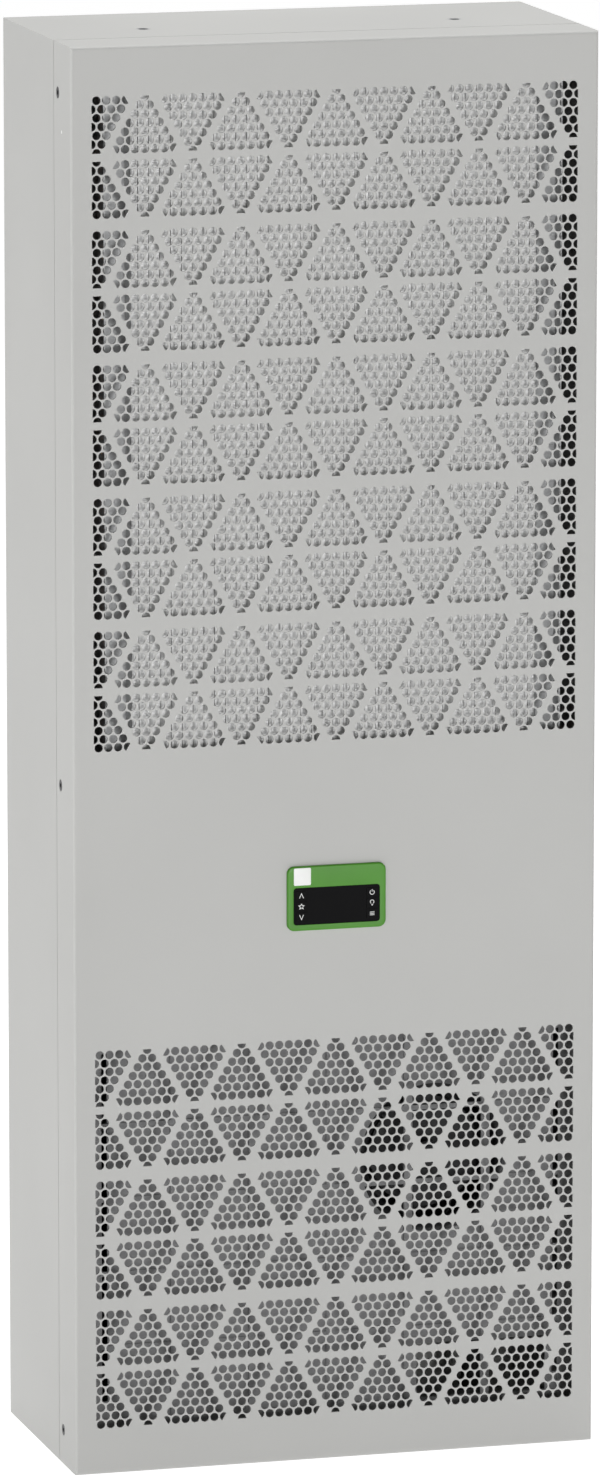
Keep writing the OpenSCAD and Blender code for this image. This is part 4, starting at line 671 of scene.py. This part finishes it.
class UNIT_OT_controller(bpy.types.Operator):
    """Mould the controller's frame, its bare plate and the symbols on its keys"""

    bl_idname = "cooling_unit.controller"
    bl_label = "Controller"

    def execute(self, context):
        s = settings().controller
        face, lens = FACE_Y, WINDOW_LOW[1]
        w, h = FRAME_HIGH[0] - FRAME_LOW[0], FRAME_HIGH[2] - FRAME_LOW[2]
        z, proud = (FRAME_HIGH[2] + FRAME_LOW[2]) / 2, FRAME_LOW[1] + s.plate_h
        mid = (WINDOW_LOW[2] + WINDOW_HIGH[2]) / 2
        # How far the window's pocket is cut beyond the window's edge, and how much rounder its corners are.
        play, rounder = 0.00015, 0.0001
        pocket = (WINDOW_HIGH[0] - WINDOW_LOW[0] - s.window_w) / 2 + play
        # The rows run from the foot up the outer wall, over a quarter ellipse to the flat face, over a
        # quarter circle into the window, out under the lens edge and back to the foot.
        a = np.linspace(0, math.pi / 2, 7)
        rows = [(w, h, s.corner, z, face)]
        start = face - s.shoulder
        rows += [(w - 2 * e, h - 2 * e, s.corner - e, z, y) for e, y in
                 zip(s.shoulder * (1 - np.cos(a)), start + (proud - start) * np.sin(a))]
        rows += [(s.window_w + 2 * e, s.window_h + 2 * e, s.window_corner + e, mid, y) for e, y in
                 zip(s.lip * (1 - np.sin(a)), proud + s.lip * (1 - np.cos(a)))]
        rows += [(s.window_w, s.window_h, s.window_corner, mid, lens)]
        rows += [(s.window_w + 2 * pocket, s.window_h + 2 * pocket, s.window_corner + rounder, mid, y)
                 for y in (lens, face)]
        points = np.concatenate([np.insert(rounded_outline(w_, h_, r_, z_), 1, y_, axis=1)
                                 for w_, h_, r_, z_, y_ in rows])
        around = len(points) // len(rows)
        piece("controller_bezel", points, grid_faces(len(rows), around, True, True),
              material("green_plastic"), "green_plastic", replaces=("controller_frame",), smooth=0.7)
        self.plate(s, proud)
        self.symbols(s)
        return {"FINISHED"}

    def plate(self, s, proud):
        """A small square plate with rounded edges, whose rows follow a quarter circle up to its flat face."""
        z = FRAME_HIGH[2] - s.plate_top - s.plate / 2
        a = np.linspace(0, math.pi / 2, 5)
        rows = [(s.plate, proud + SUNK)]
        rows += zip(s.plate - 2 * s.plate_edge * (1 - np.cos(a)), proud - s.plate_h * np.sin(a))
        points = np.concatenate([np.insert(rounded_outline(side, side, s.plate_corner, z, 4), 1, y, axis=1)
                                 for side, y in rows])
        points[:, 0] += FRAME_LOW[0] + s.plate_left + s.plate / 2
        around = len(points) // len(rows)
        faces = grid_faces(len(rows), around, False, True).tolist()
        faces += [list(range(around)), list(range(len(points) - around, len(points)))]
        piece("bare_plate", points, faces, material("bare_plate"), "casing_paint")

    def symbols(self, s):
        """The symbols: each is a set of strips along straight lines or arcs about the middle of its key."""
        u = s.symbol / 2

        def arc(r, low, high, n, z=0.0):
            a = np.radians(np.linspace(low, high, n))
            return np.stack([r * np.cos(a), z + r * np.sin(a)], axis=1)

        tips = np.radians(90 + np.arange(11) * 36)
        reach = u * np.where(np.arange(11) % 2 == 0, 1.1, 0.5)
        signs = {
            "key_up": [np.array([[-u * 0.8, -u * 0.9], [0, u * 0.9], [u * 0.8, -u * 0.9]])],
            "key_down": [np.array([[-u * 0.8, u * 0.9], [0, -u * 0.9], [u * 0.8, u * 0.9]])],
            "key_defrost": [np.stack([reach * np.cos(tips), reach * np.sin(tips)], axis=1)],
            "key_power": [arc(u * 0.85, 125, 415, 22), np.array([[0, u * 0.25], [0, u * 1.15]])],
            "key_light": [arc(u * 0.72, -60, 240, 20, u * 0.4),
                          np.array([[-u * 0.3, -u * 0.6], [u * 0.3, -u * 0.6]]),
                          np.array([[-u * 0.2, -u * 0.95], [u * 0.2, -u * 0.95]])],
            "key_menu": [np.array([[-u * 0.9, v * u], [u * 0.9, v * u]]) for v in (-0.55, 0.0, 0.55)],
        }
        for key, paths in signs.items():
            low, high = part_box(key)
            middle = np.array([(low[0] + high[0]) / 2, (low[2] + high[2]) / 2])
            front, back = low[1] - s.ink, low[1] + s.ink / 2
            half = s.stroke / 2
            points, faces = joined([carried(path + middle, [half, -half, -half, half],
                                            [front, front, back, back]) for path in paths])
            piece(key + "_symbol", points, faces, material("key_symbol"), "black_key", body=body_of(key))


class UNIT_OT_trim(bpy.types.Operator):
    """Set the blind rivet into the left side of the cover"""

    bl_idname = "cooling_unit.trim"
    bl_label = "Rivet"

    def execute(self, context):
        s = settings().trim
        # A domed head turned about X: its height falls with the square root of one minus the radius squared.
        rings, around = 5, 24
        t = np.linspace(0, math.pi / 2, rings + 1)[1:, None]
        a = np.linspace(0, 2 * math.pi, around, endpoint=False)
        x = np.broadcast_to(-HALF_W + SUNK - (SUNK + s.rivet_proud) * np.cos(t), (rings, around))
        y, z = FACE_Y + s.rivet_depth, s.rivet_height
        ring = np.stack([x, y + s.rivet * np.sin(t) * np.cos(a), z + s.rivet * np.sin(t) * np.sin(a)],
                        axis=-1).reshape(-1, 3)
        tip = np.array([[-HALF_W - s.rivet_proud, y, z]])
        faces = grid_faces(rings, around, False, True).tolist()
        faces += [[len(ring), (i + 1) % around, i] for i in range(around)]
        faces += [list(range(len(ring) - around, len(ring)))]
        piece("side_rivet", np.concatenate([ring, tip]), faces, material("bare_plate"), "casing_paint",
              smooth=0.9)
        return {"FINISHED"}


class UNIT_OT_stage(bpy.types.Operator):
    """Set the floor, the lights and the camera"""

    bl_idname = "cooling_unit.stage"
    bl_label = "Stage"

    def execute(self, context):
        s = settings().stage
        scene = context.scene
        camera = bpy.data.objects.new("camera", bpy.data.cameras.new("camera"))
        camera.data.lens, camera.data.sensor_width, camera.data.clip_end = s.lens, 36.0, 200.0
        camera.location = s.eye
        camera.rotation_euler = Vector(s.gaze).to_track_quat("-Z", "Y").to_euler()
        scene.collection.objects.link(camera)
        scene.camera = camera
        scene.view_settings.view_transform = "Standard"
        for name, place, aim, power_of, size in LIGHTS:
            self.light(name, place, aim, getattr(s, power_of), size)
        self.world(scene, s)
        self.floor(scene, s)
        return {"FINISHED"}

    def light(self, name, place, aim, watts, size):
        """A round lamp of a size, at a place, whose face looks at its aim."""
        data = bpy.data.lights.new(name, "AREA")
        data.shape, data.size, data.energy = "DISK", size, watts
        lamp = bpy.data.objects.new(name, data)
        lamp.location = place
        lamp.rotation_euler = (Vector(aim) - Vector(place)).to_track_quat("-Z", "Y").to_euler()
        bpy.context.scene.collection.objects.link(lamp)

    def world(self, scene, s):
        """Even light from all round; what the camera sees of it is plain white."""
        scene.world = bpy.data.worlds.new("studio")
        scene.world.use_nodes = True
        tree = scene.world.node_tree
        tree.nodes.clear()
        seen, given = tree.nodes.new("ShaderNodeBackground"), tree.nodes.new("ShaderNodeBackground")
        seen.inputs[1].default_value, given.inputs[1].default_value = 1.0, s.sky
        seen.inputs[0].default_value = given.inputs[0].default_value = (1.0, 1.0, 1.0, 1.0)
        path, mix = tree.nodes.new("ShaderNodeLightPath"), tree.nodes.new("ShaderNodeMixShader")
        out = tree.nodes.new("ShaderNodeOutputWorld")
        tree.links.new(path.outputs["Is Camera Ray"], mix.inputs[0])
        tree.links.new(given.outputs[0], mix.inputs[1])
        tree.links.new(seen.outputs[0], mix.inputs[2])
        tree.links.new(mix.outputs[0], out.inputs[0])

    def floor(self, scene, s):
        """A wide level disc under the foot of the casing, worked out from a radius and an angle."""
        around, gap = 48, 0.0005
        r, a = np.array([[4.0], [30.0]]), np.linspace(0, 2 * math.pi, around, endpoint=False)
        z = np.full((2, around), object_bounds()[0][2] - gap)
        ring = np.stack([r * np.cos(a), r * np.sin(a), z], axis=-1).reshape(-1, 3)
        rim = grid_faces(2, around, False, True)[:, ::-1].tolist()
        mesh = bpy.data.meshes.new("floor")
        mesh.from_pydata(ring.tolist(), [], [list(range(around))] + rim)
        f = Finish("pale_floor")
        cloud, seen = f.noise(0.6, 2.0), f.node("ShaderNodeLightPath", output="Is Camera Ray")
        mesh.materials.append(f.done(
            Base_Color=f.mix(cloud.ramp(0.3, 0.7), (0.48, 0.48, 0.48), (0.52, 0.52, 0.52)), Roughness=0.9,
            Emission_Color=f.mix(seen, (s.glow,) * 3, (1.0, 1.0, 1.0)), Emission_Strength=s.floor,
            Normal=f.bump(f.noise(300.0), 0.0001)))
        floor = bpy.data.objects.new("floor", mesh)
        scene.collection.objects.link(floor)
        floor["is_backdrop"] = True


class UNIT_PT_panel(bpy.types.Panel):
    """The steps that dress the cooling unit"""

    bl_idname = "UNIT_PT_panel"
    bl_label = "Cooling unit"
    bl_space_type = "VIEW_3D"
    bl_region_type = "UI"
    bl_category = "Cooling unit"

    def draw(self, context):
        for step in STEPS:
            self.layout.operator(step.bl_idname)


SIZES = (CoverSizes, FinSizes, ControllerSizes, TrimSizes, Colours, StageSettings, CoolingUnit)
STEPS = (UNIT_OT_finishes, UNIT_OT_cover, UNIT_OT_fins, UNIT_OT_controller, UNIT_OT_trim, UNIT_OT_stage)


def register():
    for cls in SIZES + STEPS + (UNIT_PT_panel,):
        bpy.utils.register_class(cls)
    bpy.types.Scene.cooling_unit = PointerProperty(type=CoolingUnit)


def unregister():
    del bpy.types.Scene.cooling_unit
    for cls in reversed(SIZES + STEPS + (UNIT_PT_panel,)):
        bpy.utils.unregister_class(cls)


def main():
    register()
    for step in (bpy.ops.cooling_unit.stage, bpy.ops.cooling_unit.finishes, bpy.ops.cooling_unit.cover,
                 bpy.ops.cooling_unit.fins, bpy.ops.cooling_unit.controller, bpy.ops.cooling_unit.trim):
        step()


if __name__ == "__main__":
    main()
